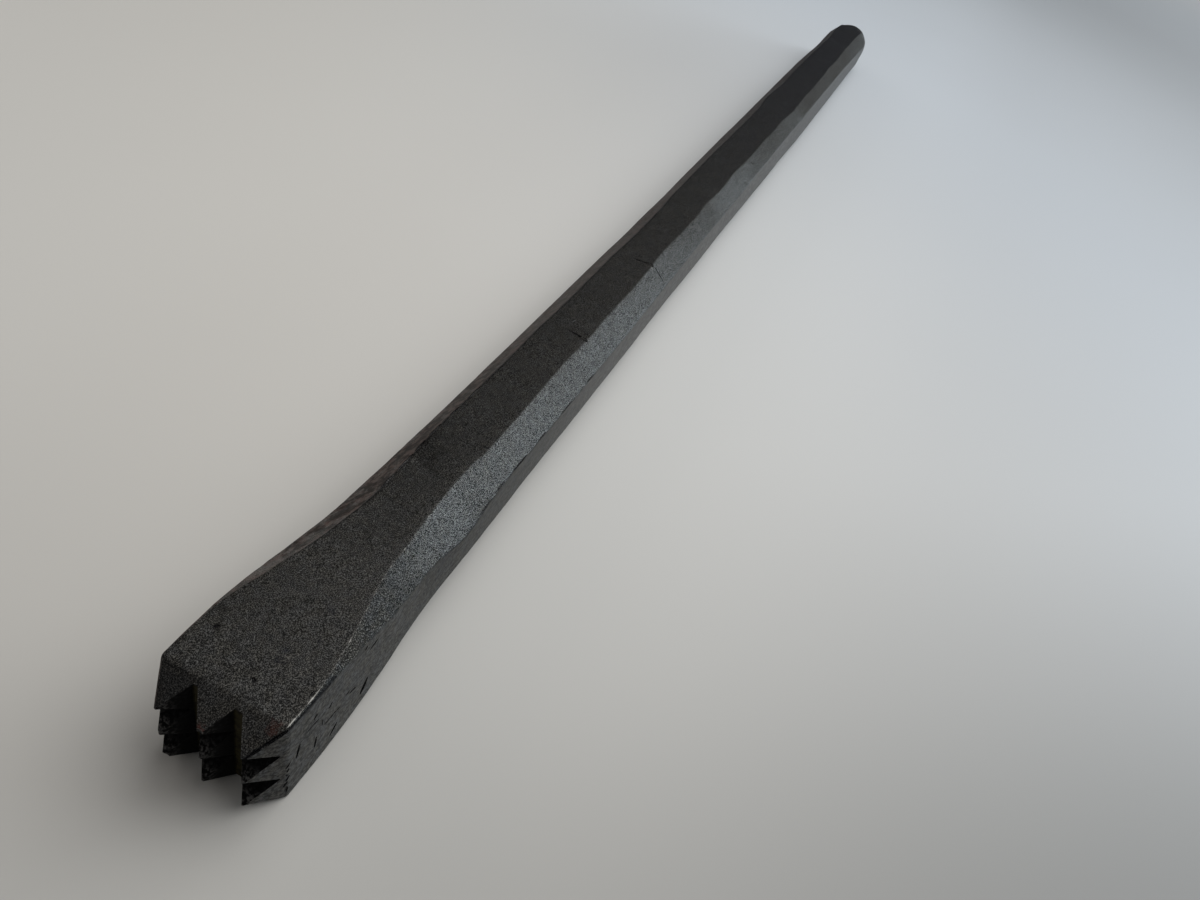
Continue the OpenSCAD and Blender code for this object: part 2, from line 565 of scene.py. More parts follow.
def top_right_edge() -> Run:
    """How far the top flat's right edge is from the middle of the bar.

    Returns:
        The turns of the edge along this bar, as measured in the photo, with straight runs between them.
    """
    return (
        (2.4, 4.70), (5.0, 4.74), (7.0, 4.58), (8.0, 4.35), (10.0, 4.05), (12.0, 3.63),
        (14.0, 3.17), (16.0, 2.82), (18.0, 2.73), (20.0, 2.52), (22.0, 2.38), (24.0, 2.28),
        (27.0, 2.18), (28.0, 2.23), (29.7, 2.20), (30.5, 2.44), (34.0, 2.43), (36.0, 2.38),
        (40.0, 2.38), (44.0, 2.26), (48.0, 2.22), (52.0, 2.34), (54.0, 2.44), (56.0, 2.33),
        (62.0, 2.29), (66.0, 2.41), (68.0, 2.33), (72.0, 2.29), (76.0, 2.08), (78.0, 2.14),
        (80.0, 2.09), (84.0, 2.29), (86.0, 2.33), (88.0, 2.27), (90.0, 2.42), (92.0, 2.36),
        (94.0, 2.18), (96.0, 2.10), (98.0, 2.30), (100.0, 2.47), (104.0, 2.45), (106.0, 2.31),
        (110.0, 2.18), (112.0, 2.38), (116.0, 2.51), (121.0, 2.51), (126.0, 2.43), (130.0, 2.50),
        (132.0, 2.58), (136.0, 2.56), (138.0, 2.40), (140.0, 2.40), (142.0, 2.62), (146.0, 2.76),
        (148.0, 2.88), (152.0, 2.71), (154.0, 2.74), (158.0, 2.56), (160.0, 2.64), (166.0, 2.71),
        (168.0, 2.66), (172.0, 2.71), (174.0, 2.62), (178.0, 2.60), (180.0, 2.45), (182.0, 2.36),
        (184.0, 2.45), (188.0, 2.52), (190.0, 2.48), (192.0, 2.58), (196.0, 2.42), (200.0, 2.32),
        (204.0, 2.29), (206.0, 2.33), (212.0, 2.33), (218.0, 2.37), (220.0, 2.44), (222.0, 2.60),
        (224.0, 2.70),
    )


@dataclass
class HammeredBar:
    """The forged bar: eight hammered flats from the head's front to the rounded struck end.

    Wear goes from 1, where the steel is rubbed bright, to -1, where it is black with soot. head_wear and
    bar_wear give it for the arrises of the head and of the bar behind it, in the order of Arris, and the
    runs below them change it on single edges. The rubbed line along the top right arris is partly a
    painted highlight, and the -1 below it at the head, on the right high arris and the narrow right bevel,
    is a painted shadow. cells has the number of cells across each flat, in the order of Flat, and relief
    has each layer's name, size and depth.
    """

    marks: tuple[Mark, ...]
    top_left: Run
    top_right: Run
    length: float = 230.0
    half_width: float = 4.99
    height: float = 9.99
    front_at: float = 2.4
    slope_across: float = 1.53
    slope_up: float = 1.60
    bar_from: float = 31.0
    bar_rings: int = 98
    dome_at: float = 225.5
    dome_blend: float = 1.5
    dome_turns: tuple[int, ...] = (14, 28, 42, 55, 67, 78, 90)
    strike_share: float = 0.60
    bluntness: float = 3.2
    front_rings: tuple[float, ...] = (0.985, 0.9, 0.7, 0.45, 0.2)
    struck_rings: tuple[float, ...] = (0.95, 0.75, 0.5, 0.25)
    edge_round: Run = ((9.0, 0.14), (20.0, 0.18))
    widest_round: float = 0.3
    cells: tuple[int, ...] = (1, 2, 1, 2, 1, 4, 2, 3)
    levels: int = 2
    # The head's -1 on the right high arris is a painted shadow below the rubbed top right edge.
    head_wear: tuple[float, ...] = (0.3, 0.2, 0.2, 0.3, 0.2, 0.5, 0.0, -1.0)
    bar_wear: tuple[float, ...] = (-0.4, 0.2, 0.2, -0.4, -0.85, -0.8, 0.3, -0.65)
    neck_fade: Run = ((8.0, 0.0), (14.0, 1.0))
    unworn_front: float = 0.2
    struck_wear: float = 0.52
    # Rubbed steel along the top right arris, partly a painted highlight.
    right_rubbed_and_highlight: Run = ((2.2, 0.4), (2.5, 1.0), (5.0, 0.88), (6.5, 0.72), (18.0, 0.69), (30.0, 0.3))
    left_sooted: Run = ((20.0, 1.0), (22.5, 1.7), (34.0, 1.7), (60.0, 1.25))
    neck_spared: Run = ((6.0, 1.0), (8.0, 0.15), (17.0, 0.15), (20.0, 1.0))
    # Darker near the right bevel's lower edge at the shoulder.
    shoulder_darkening: Run = ((18.0, 0.0), (21.0, -0.45), (34.0, -0.40), (46.0, 0.0))
    darkening_from: float = 0.7
    narrow_bevel: float = 0.5
    # Painted shadow on the narrow right bevel below the rubbed edge at the head.
    narrow_shadow_from: float = 0.4
    relief: tuple[tuple[str, float, float], ...] = (
        ("Hammer wave", 7.0, 0.05), ("Blister", 1.3, 0.022), ("Grain", 0.6, 0.012),
    )

    def corners(self, at: float) -> np.ndarray:
        """The eight arrises at one place.

        Args:
            at: The distance from the tips.

        Returns:
            Eight rows of (y, z).
        """
        place = max(at, self.front_at)

        def hammered(name: str) -> float:
            """Reads one measure of the marks here, by the name of its field, and returns it."""
            return read_run(tuple((mark.at, getattr(mark, name)) for mark in self.marks), place)

        h = hammered("height")
        drop = hammered("drop_left")
        left, right = hammered("side_left"), hammered("side_right")
        top_left, top_right = read_run(self.top_left, place), read_run(self.top_right, place)
        ring = np.array([
            (-right, drop), (-top_right, 0.0), (top_left, 0.0), (left, drop),
            (left, h - drop), (top_left, h), (-top_right, h), (-right, h - hammered("drop_right")),
        ])
        if at < self.front_at:
            share = 1 - at / self.front_at
            ring[:, 0] -= np.sign(ring[:, 0]) * self.slope_across * share
            ring[:, 1] += np.where(ring[:, 1] < h / 2, 1, -1) * self.slope_up * share
        if at > self.dome_at:
            rise = (at - self.dome_at) / (self.length - self.dome_at)
            rest = max(0.0, 1 - rise ** self.bluntness) ** (1 / self.bluntness)
            ring = self.shrunk(ring, self.strike_share + (1 - self.strike_share) * rest)
        return ring

    @staticmethod
    def shrunk(ring: np.ndarray, size: float) -> np.ndarray:
        """A ring drawn in towards its middle.

        Args:
            ring: Rows of (y, z).
            size: The share of its size that is left.

        Returns:
            The smaller ring.
        """
        middle = (ring.min(axis=0) + ring.max(axis=0)) / 2
        return middle + (ring - middle) * size

    @staticmethod
    def rounded(ring: np.ndarray, share: float) -> np.ndarray:
        """A ring with its corners drawn in towards the ellipse that touches its flats.

        Args:
            ring: Rows of (y, z).
            share: How far it is rounded, from 0 to 1.

        Returns:
            The rounder ring.
        """
        low, high = ring.min(axis=0), ring.max(axis=0)
        middle = (low + high) / 2
        reach = np.linalg.norm((ring - middle) / ((high - low) / 2), axis=1)
        return middle + (ring - middle) * (1 - share + share / reach)[:, None]

    def places(self) -> list[float]:
        """Where the cage has its rings, close together at the head and wider along the bar.

        Returns:
            Their distances from the tips.
        """
        head = [0.0, 0.3, 0.9, 1.5, 2.1, 2.4, 2.7, 3.3, 4.1, 5.0, 5.9, 6.8, 7.6, 8.4, 9.2]
        neck = [float(at) for at in range(10, 23)]
        shoulder = [23.4, 24.0, 24.6, 25.5, 26.4, 27.3, 28.2, 29.1, 29.7, 30.4]
        bar = [float(at) for at in np.linspace(self.bar_from, self.dome_at, self.bar_rings)]
        dome_length = self.length - self.dome_at
        dome = [self.dome_at + dome_length * math.sin(math.radians(turn)) for turn in self.dome_turns]
        return head + neck + shoulder + bar + dome

    def arris_wear(self, arris: int, at: float) -> float:
        """How worn an arris is.

        Args:
            arris: The arris.
            at: The distance from the tips.

        Returns:
            Its wear.
        """
        if at <= self.front_at - self.unworn_front:
            return 0.0
        neck = read_run(self.neck_fade, at)
        wear = self.head_wear[arris] * (1 - neck) + self.bar_wear[arris] * neck
        if arris == Arris.TOP_RIGHT:
            return max(wear, read_run(self.right_rubbed_and_highlight, at))
        if arris == Arris.TOP_LEFT:
            return wear * read_run(self.left_sooted, at)
        if arris == Arris.RIGHT_HIGH:
            return wear * read_run(self.neck_spared, at)
        return wear

    def flat_wear(self, flat: int, at: float, width: float, share: float) -> float:
        """How worn a flat is: only the right bevel is darkened, with a painted shadow where it is narrow at
        the head and a darker band at the shoulder.

        Args:
            flat: The flat.
            at: The distance from the tips.
            width: The flat's width there.
            share: How far the point is across it, from 0 to 1.

        Returns:
            Its wear.
        """
        if flat != Flat.RIGHT_BEVEL:
            return 0.0
        # Painted shadow below the rubbed top right edge, where the bevel is narrow.
        if width < self.narrow_bevel and share > self.narrow_shadow_from:
            return -1.0
        return read_run(self.shoulder_darkening, at) if share > self.darkening_from else 0.0

    def ring(self, at: float) -> tuple[np.ndarray, list[float]]:
        """The cage's points at one place, with close ones beside each arris to hold its rounding.

        Args:
            at: The distance from the tips.

        Returns:
            Rows of (y, z), and how worn each point is.
        """
        corners = self.corners(at)
        points, worn = [], []
        for flat in Flat:
            start, end = corners[flat], corners[(flat + 1) % len(Flat)]
            width = float(np.linalg.norm(end - start))
            edge = min(read_run(self.edge_round, at) / width, self.widest_round)
            points.append(start)
            worn.append(self.arris_wear(flat, at))
            for share in np.linspace(edge, 1 - edge, self.cells[flat] + 1):
                points.append(start + (end - start) * share)
                worn.append(self.flat_wear(flat, at, width, share))
        rounding = ((self.dome_at - self.dome_blend, 0.0), (self.dome_at + self.dome_blend, 1.0))
        return self.rounded(np.array(points), read_run(rounding, at)), worn

    def build(self) -> bpy.types.Object:
        """Builds the cage of the bar, closed at both ends.

        Returns:
            The mesh object, in metres, in the scene.
        """
        rings, worn = [], []
        for at in self.places():
            ring, wear = self.ring(at)
            rings.append(np.column_stack((np.full(len(ring), at), ring)))
            worn.append(wear)
        first, last = rings[0], rings[-1]
        for size in self.front_rings:
            rings.insert(0, np.column_stack((first[:, 0], self.shrunk(first[:, 1:], size))))
            worn.insert(0, [0.0] * len(first))
        for size in self.struck_rings:
            rings.append(np.column_stack((last[:, 0], self.shrunk(last[:, 1:], size))))
            worn.append([self.struck_wear] * len(last))
        count = len(first)
        points = np.concatenate(rings)
        points[:, 0] -= self.length / 2
        faces = [tuple(reversed(range(count)))]
        for row in range(len(rings) - 1):
            for column in range(count):
                a, b = row * count + column, row * count + (column + 1) % count
                faces.append((a, b, b + count, a + count))
        faces.append(tuple(range((len(rings) - 1) * count, len(rings) * count)))
        mesh = bpy.data.meshes.new("forged_bush_chisel")
        mesh.from_pydata([tuple(p) for p in points * MM], [], faces)
        wear = mesh.attributes.new(Detail.WORN.value, "FLOAT", "POINT")
        wear.data.foreach_set("value", [float(w) for row in worn for w in row])
        mesh.validate()
        piece = bpy.data.objects.new("forged_bush_chisel", mesh)
        bpy.context.scene.collection.objects.link(piece)
        return piece

    def skin(self, material: bpy.types.Material) -> ShapeTree:
        """The tree that rounds the cage and gives it the hammer's waves and the scale's relief.

        Args:
            material: The forge scale.

        Returns:
            The tree.
        """
        tree = ShapeTree("Hammered skin")
        levels = tree.ask("Subdivisions", self.levels, "Int")
        dressed = tree.ask("Material", material, "Material")
        seed = tree.ask("Seed", 4.0)
        end, side = self.length / 2 * MM, self.half_width * MM
        low = tree.ask("Lowest corner", (-end, -side, 0.0), "Vector")
        high = tree.ask("Highest corner", (end, side, self.height * MM), "Vector")
        smooth = tree.add("GeometryNodeSubdivisionSurface", {"Mesh": tree.shape, "Level": levels}).outputs[0]
        place = tree.add("GeometryNodeInputPosition").outputs[0]
        outwards = tree.add("GeometryNodeInputNormal").outputs[0]
        shift = tree.combine(seed, seed, seed)
        rise: object = 0.0
        for name, wide, deep in self.relief:
            size, depth = tree.ask_sizes({f"{name} size": wide, f"{name} depth": deep})
            spread = tree.vector("SCALE", place, tree.sum("DIVIDE", 1.0, size))
            waves = tree.noise(tree.vector("ADD", spread, shift), 2.0, 0.55)
            wave = tree.times(tree.centred(waves), 2.0)
            rise = tree.sum("MULTIPLY_ADD", wave, depth, rise)
        target = tree.vector("ADD", place, tree.vector("SCALE", outwards, rise))
        held = tree.vector("MINIMUM", tree.vector("MAXIMUM", target, low), high)
        tree.finish(tree.moved(smooth, Position=held), dressed)
        return tree


@dataclass
class ToothedHead:
    """The head's front: upright and level V grooves that leave a grid of pyramid teeth.

    Of the two upright grooves the left one is the last of its row. A lean is how far a groove's root
    stands to the left of its mouth. stroke_scale and blank_points are for the cutter's depth, width and
    length, in this order.
    """

    teeth: int = 3
    pitch_across: float = 3.26
    pitch_up: float = 3.34
    middle_up: float = 5.05
    column_depth: float = 1.93
    row_depth: float = 1.75
    level_turn: float = math.radians(3)
    land: float = 0.14
    land_left: float = 0.7
    right_root: float = 0.58
    left_root: float = 0.33
    level_root: float = 0.12
    right_lean: float = 0.21
    left_lean: float = 0.17
    run_on: float = 0.03
    row_run_on: float = 0.28
    reach: float = 12.0
    waver: float = 0.02
    roughness: float = 0.018
    stroke_scale: tuple[float, float, float] = (4000.0, 9.0, 900.0)
    blank_points: tuple[int, int, int] = (17, 2, 90)
    column_seed: int = 3
    row_seed: int = 8

    def strokes(self, tree: ShapeTree, place: Sequence[object], rough: object) -> bpy.types.NodeSocket:
        """The fine ridges that the file's strokes leave on a wall.

        Args:
            tree: The cutters' tree.
            place: The sockets of the place on the blank: inwards, across and along the groove.
            rough: The socket of their depth.

        Returns:
            The socket of how far the wall stands out.
        """
        stretched = [tree.times(one, by) for one, by in zip(place, self.stroke_scale)]
        ridges = tree.centred(tree.noise(tree.combine(*stretched), 3.0, 0.6))
        return tree.times(ridges, tree.times(rough, 2.0))

    def file_strokes(self) -> ShapeTree:
        """The group that makes one row of groove cutters, upright, side by side along Y.

        Returns:
            The group. It gives the cutters with their roots towards +X and their mouths at X = 0.
        """
        tree = ShapeTree("V groove cutters")
        teeth = tree.ask("Teeth", self.teeth, "Int")
        seed = tree.ask("Seed", 1, "Int")
        waver = tree.ask("Waver", self.waver)
        lean, last_lean, dust = (tree.ask(name, 0.0) for name in ("Lean", "Lean of the last", "Dust"))
        pitch, depth, land, root, last_root, run_on, reach, rough = tree.ask_sizes({
            "Pitch": self.pitch_across, "Depth": self.column_depth, "Tip land": self.land,
            "Root width": self.level_root, "Root width of the last": self.level_root,
            "Run-on": self.run_on, "Reach": self.reach, "Roughness": self.roughness,
        })
        whole = tree.sum("ADD", depth, run_on)
        cells = dict(zip(("Vertices X", "Vertices Y", "Vertices Z"), self.blank_points))
        blank = tree.add("GeometryNodeMeshCube", {"Size": tree.combine(whole, 1.0, reach), **cells})
        x, side, z = tree.separate(tree.add("GeometryNodeInputPosition").outputs[0])
        inwards = tree.sum("SUBTRACT", tree.sum("ADD", x, tree.times(whole, HALF)), run_on)
        share = tree.sum("DIVIDE", inwards, depth)
        open_width = tree.times(tree.sum("SUBTRACT", pitch, land), tree.sum("SUBTRACT", 1.0, share))
        widest = tree.sum("MULTIPLY_ADD", land, -self.land_left, pitch)
        width = tree.sum("MINIMUM", open_width, widest)
        wall = tree.sum("ADD", tree.times(side, width), self.strokes(tree, (x, side, z), rough))
        marked = tree.store(blank.outputs[0], "root_share", share)
        sided = tree.store(marked, "side", side)
        dusted = tree.store(sided, Detail.DUSTY.value, tree.times(share, dust))
        shaped = tree.moved(dusted, Position=tree.combine(inwards, wall, z))
        filed = tree.store(shaped, Detail.FILED.value, 1.0, "FACE")
        grooves = tree.sum("SUBTRACT", teeth, 1.0)
        start = tree.times(tree.sum("SUBTRACT", grooves, 1.0), tree.times(pitch, -HALF))
        row = tree.add("GeometryNodeMeshLine", {
            "Count": grooves,
            "Start Location": tree.combine(0.0, start, 0.0),
            "Offset": tree.combine(0.0, pitch, 0.0),
        })
        index = tree.add("GeometryNodeInputIndex").outputs[0]
        last = tree.over(index, tree.sum("SUBTRACT", grooves, 1.5))
        rooted = tree.store(row.outputs[0], "root", tree.between(last, root, last_root))
        leaning = tree.store(rooted, "lean", tree.between(last, lean, last_lean))
        swing = {"Seed": seed, "Min_001": tree.times(waver, -1.0), "Max_001": waver}
        turn = tree.add("FunctionNodeRandomValue", swing, data_type="FLOAT")
        askew = next(s for s in turn.outputs if s.identifier == "Value_001")
        spin = tree.add("FunctionNodeEulerToRotation", {"Euler": tree.combine(askew, 0.0, 0.0)}).outputs[0]
        cutters = tree.add("GeometryNodeInstanceOnPoints", {
            "Points": leaning, "Instance": filed, "Rotation": spin,
        }).outputs[0]
        real = tree.add("GeometryNodeRealizeInstances", {"Geometry": cutters}).outputs[0]
        opened = tree.sum("MULTIPLY_ADD", *(tree.attribute(name) for name in ("side", "root", "lean")))
        pushed = tree.times(opened, tree.attribute("root_share"))
        tree.finish(tree.moved(real, Offset=tree.combine(0.0, pushed, 0.0)))
        return tree

    def filed(self, tips_at: float, scale: bpy.types.Material, bright: bpy.types.Material) -> ShapeTree:
        """The tree that files the grooves into the bar it is given.

        Args:
            tips_at: X of the tooth tips in the scene, in millimetres.
            scale: The finish of what stays as it was forged.
            bright: The finish of the filed walls.

        Returns:
            The tree.
        """
        strokes = self.file_strokes().tree
        tree = ShapeTree("Filed teeth")
        teeth = tree.ask("Teeth", self.teeth, "Int")
        across, column_depth, right_root, left_root, right_lean, left_lean = tree.ask_sizes({
            "Pitch across": self.pitch_across, "Column groove depth": self.column_depth,
            "Root of the right groove": self.right_root, "Root of the left groove": self.left_root,
            "Lean of the right groove": self.right_lean, "Lean of the left groove": self.left_lean,
        })
        up, row_depth, row_run_on = tree.ask_sizes({
            "Pitch up": self.pitch_up, "Row groove depth": self.row_depth,
            "Row groove run-on": self.row_run_on,
        })
        middle = tree.ask("Middle of the teeth", (tips_at * MM, 0.0, self.middle_up * MM), "Vector")
        scale_finish = tree.ask("Scale", scale, "Material")
        filed_finish = tree.ask("Filed steel", bright, "Material")
        columns = tree.add("GeometryNodeGroup", {
            "Teeth": teeth, "Pitch": across, "Depth": column_depth, "Dust": 1.0, "Seed": self.column_seed,
            "Root width": right_root, "Lean": right_lean,
            "Root width of the last": left_root, "Lean of the last": left_lean,
        }, node_tree=strokes)
        rows = tree.add("GeometryNodeGroup", {
            "Teeth": teeth, "Pitch": up, "Depth": row_depth, "Run-on": row_run_on, "Seed": self.row_seed,
        }, node_tree=strokes)
        lying = Euler((math.radians(90), 0, self.level_turn))
        cutters = [
            tree.add("GeometryNodeTransform", {
                "Geometry": group.outputs[0], "Translation": middle, "Rotation": turn,
            }).outputs[0]
            for group, turn in ((columns, Euler()), (rows, lying))
        ]
        tree.finish(tree.cut(tree.shape, cutters), scale_finish, filed_finish)
        return tree


@dataclass(frozen=True)
class Flaw:
    """A hollow from one place to another: a black pit, lap or scratch, or a clean chip off an edge."""

    start: tuple[float, float, float]
    end: tuple[float, float, float]
    radius: float
    black: float = 1.0


@dataclass
class ScaleFlaws:
    """The pits, laps and chips in the bar's surface."""

    flaws: tuple[Flaw, ...]
    raggedness: float = 0.03
    raggedness_size: float = 0.25

    def marks(self, bar: HammeredBar) -> bpy.types.Object:
        """Puts a point at each flaw, with its turn, size and blackness.

        Args:
            bar: The bar that they are in.

        Returns:
            The object of points, which isn't rendered.
        """
        places, turns, sizes = [], [], []
        for flaw in self.flaws:
            start, end = Vector(flaw.start), Vector(flaw.end)
            places.append(((start + end) / 2 - Vector((bar.length / 2, 0.0, 0.0))) * MM)
            turns.extend((end - start).to_track_quat("X", "Z").to_euler())
            radius = flaw.radius * MM
            sizes.extend(((end - start).length / 2 * MM + radius, radius, radius))
        blacks = [flaw.black for flaw in self.flaws]
        mesh = bpy.data.meshes.new("flaw_marks")
        mesh.from_pydata(places, [], [])
        for name, kind, field, values in (
            ("turn", "FLOAT_VECTOR", "vector", turns),
            ("size", "FLOAT_VECTOR", "vector", sizes),
            ("black", "FLOAT", "value", blacks),
        ):
            mesh.attributes.new(name, kind, "POINT").data.foreach_set(field, values)
        holder = bpy.data.objects.new("flaw_marks", mesh)
        bpy.context.scene.collection.objects.link(holder)
        return holder

    def pitted(
        self, marks: bpy.types.Object, scale: bpy.types.Material, bright: bpy.types.Material,
    ) -> ShapeTree:
        """The tree that takes the flaws out of the bar it is given.

        Args:
            marks: The object of points.
            scale: The finish of the forged faces.
            bright: The finish of the filed walls.

        Returns:
            The tree.
        """
        tree = ShapeTree("Pits and laps")
        holder = tree.ask("Marks", marks, "Object")
        sizes = {"Raggedness": self.raggedness, "Raggedness size": self.raggedness_size}
        rough, grain = tree.ask_sizes(sizes)
        scale_finish = tree.ask("Scale", scale, "Material")
        filed_finish = tree.ask("Filed steel", bright, "Material")
        turn = tree.attribute("turn", "FLOAT_VECTOR")
        hollows = tree.add("GeometryNodeInstanceOnPoints", {
            "Points": tree.add("GeometryNodeObjectInfo", {"Object": holder}).outputs["Geometry"],
            "Instance": tree.add("GeometryNodeMeshIcoSphere", {"Radius": 1.0, "Subdivisions": 3}).outputs[0],
            "Rotation": tree.add("FunctionNodeEulerToRotation", {"Euler": turn}).outputs[0],
            "Scale": tree.attribute("size", "FLOAT_VECTOR"),
        }).outputs[0]
        real = tree.add("GeometryNodeRealizeInstances", {"Geometry": hollows}).outputs[0]
        place = tree.add("GeometryNodeInputPosition").outputs[0]
        spread = tree.vector("SCALE", place, tree.sum("DIVIDE", 1.0, grain))
        colour = tree.add("ShaderNodeTexNoise", {"Vector": spread, "Scale": 1.0, "Detail": 2.0}).outputs[1]
        centred = tree.vector("SUBTRACT", colour, (HALF, HALF, HALF))
        ragged = tree.moved(real, Offset=tree.vector("SCALE", centred, tree.times(rough, 2.0)))
        pitted = tree.store(ragged, Detail.PITTED.value, tree.attribute("black"), "FACE")
        tree.finish(tree.cut(tree.shape, pitted), scale_finish, filed_finish)
        return tree


@dataclass(frozen=True)
class Stain:
    """A small patch of another colour in the scale."""

    place: tuple[float, float, float]
    radius: float
    strength: float
    colour: Colour


class ScaleZones:
    """Where on the bar a point of the scale lies and which way it faces, as sockets of one material."""

    def __init__(self, nodes: NodeMaker, tips_at: float) -> None:
        """Reads the place and the direction.

        Args:
            nodes: The material's maker.
            tips_at: X of the tooth tips in the scene, in millimetres.
        """
        self.nodes = nodes
        coordinates = nodes.add("ShaderNodeTexCoord")
        self.mm = nodes.vector("SCALE", coordinates.outputs["Object"], PER_MM)
        x, self.across, _ = nodes.separate(self.mm)
        self.along = nodes.sum("SUBTRACT", x, tips_at)
        self.endward, self.leftward, self.upward = nodes.separate(coordinates.outputs["Normal"])
        self.medium = self.noise(1.9, 2.0, 0.6)
        self.coarse = self.noise(0.8, 3.0, 0.6)
        fine = nodes.times(self.noise(14.0, 1.0, 0.5), 0.85)
        self.grain = nodes.sum("ADD", fine, nodes.times(self.medium, 0.15))
        self.right_bevel = nodes.ramp(self.leftward, -0.25, -0.45)
        self.left_side = nodes.ramp(self.leftward, 0.35, 0.6)
        top = nodes.ramp(self.upward, 0.8, 0.95)
        # Where the top gets painted shade: behind the head and towards the far end.
        self.behind_head = nodes.times(top, nodes.ramp(self.along, 12.0, 24.0))
        self.far_top = nodes.times(top, nodes.ramp(self.along, 40.0, 210.0))
        # Painted shade at the shoulder's crease, as a factor on the top's colour and gloss.
        self.lit = self.painted_crease_shade(top)
        # The teeth's slopes at the left, which get painted shade.
        tooth_slope = nodes.ramp(self.endward, -0.35, -0.5)
        self.left_slope = nodes.times(tooth_slope, nodes.ramp(self.across, 0.5, 3.0, 0.0, 0.4))
        self.struck = nodes.ramp(self.endward, 0.18, 0.5, 0.0, 0.8)
        self.smooth = self.upright_sides()

    def noise(
        self, size: float, detail: float, roughness: float, shift: Sequence[float] | None = None,
    ) -> bpy.types.NodeSocket:
        """Adds a noise on the bar.

        Args:
            size: How many of its features go into a millimetre.
            detail: Its number of octaves.
            roughness: How strong the finer octaves are.
            shift: How far it is moved, so that it differs from the other noises.

        Returns:
            The socket of its value.
        """
        place = self.nodes.vector("ADD", self.mm, shift) if shift else self.mm
        return self.nodes.noise(place, detail, roughness, size)

    def painted_crease_shade(self, top: object) -> bpy.types.NodeSocket:
        """Painted shade on the top beside the skew crease at the shoulder, which dims its left part.

        Args:
            top: The socket of the top flat's share.

        Returns:
            The socket of the brightness, 1 away from the crease.
        """
        nodes = self.nodes
        fold = nodes.sum("MULTIPLY_ADD", self.across, -0.34, self.along)
        inside = nodes.times(nodes.ramp(fold, 25.8, 26.3), nodes.ramp(fold, 31.5, 27.5))
        dimmed = nodes.times(inside, top, nodes.ramp(self.across, -1.8, 1.0, 0.0, 0.34))
        return nodes.sum("SUBTRACT", 1.0, dimmed)

    def upright_sides(self) -> bpy.types.NodeSocket:
        """Where the scale is smooth: the upright sides, the left bevels and the head's side slopes.

        Returns:
            The socket of the smoothness, from 0 to 1.
        """
        nodes = self.nodes
        turned = nodes.chain("MAXIMUM", nodes.times(self.leftward, -1.0), nodes.times(self.leftward, 1.4))
        sideways = nodes.sum("MULTIPLY_ADD", nodes.ramp(self.along, 2.5, 2.3), 0.12, turned)
        border = nodes.sum("MULTIPLY_ADD", nodes.centred(self.coarse), 0.3, sideways)
        return nodes.ramp(border, 0.82, 0.95)


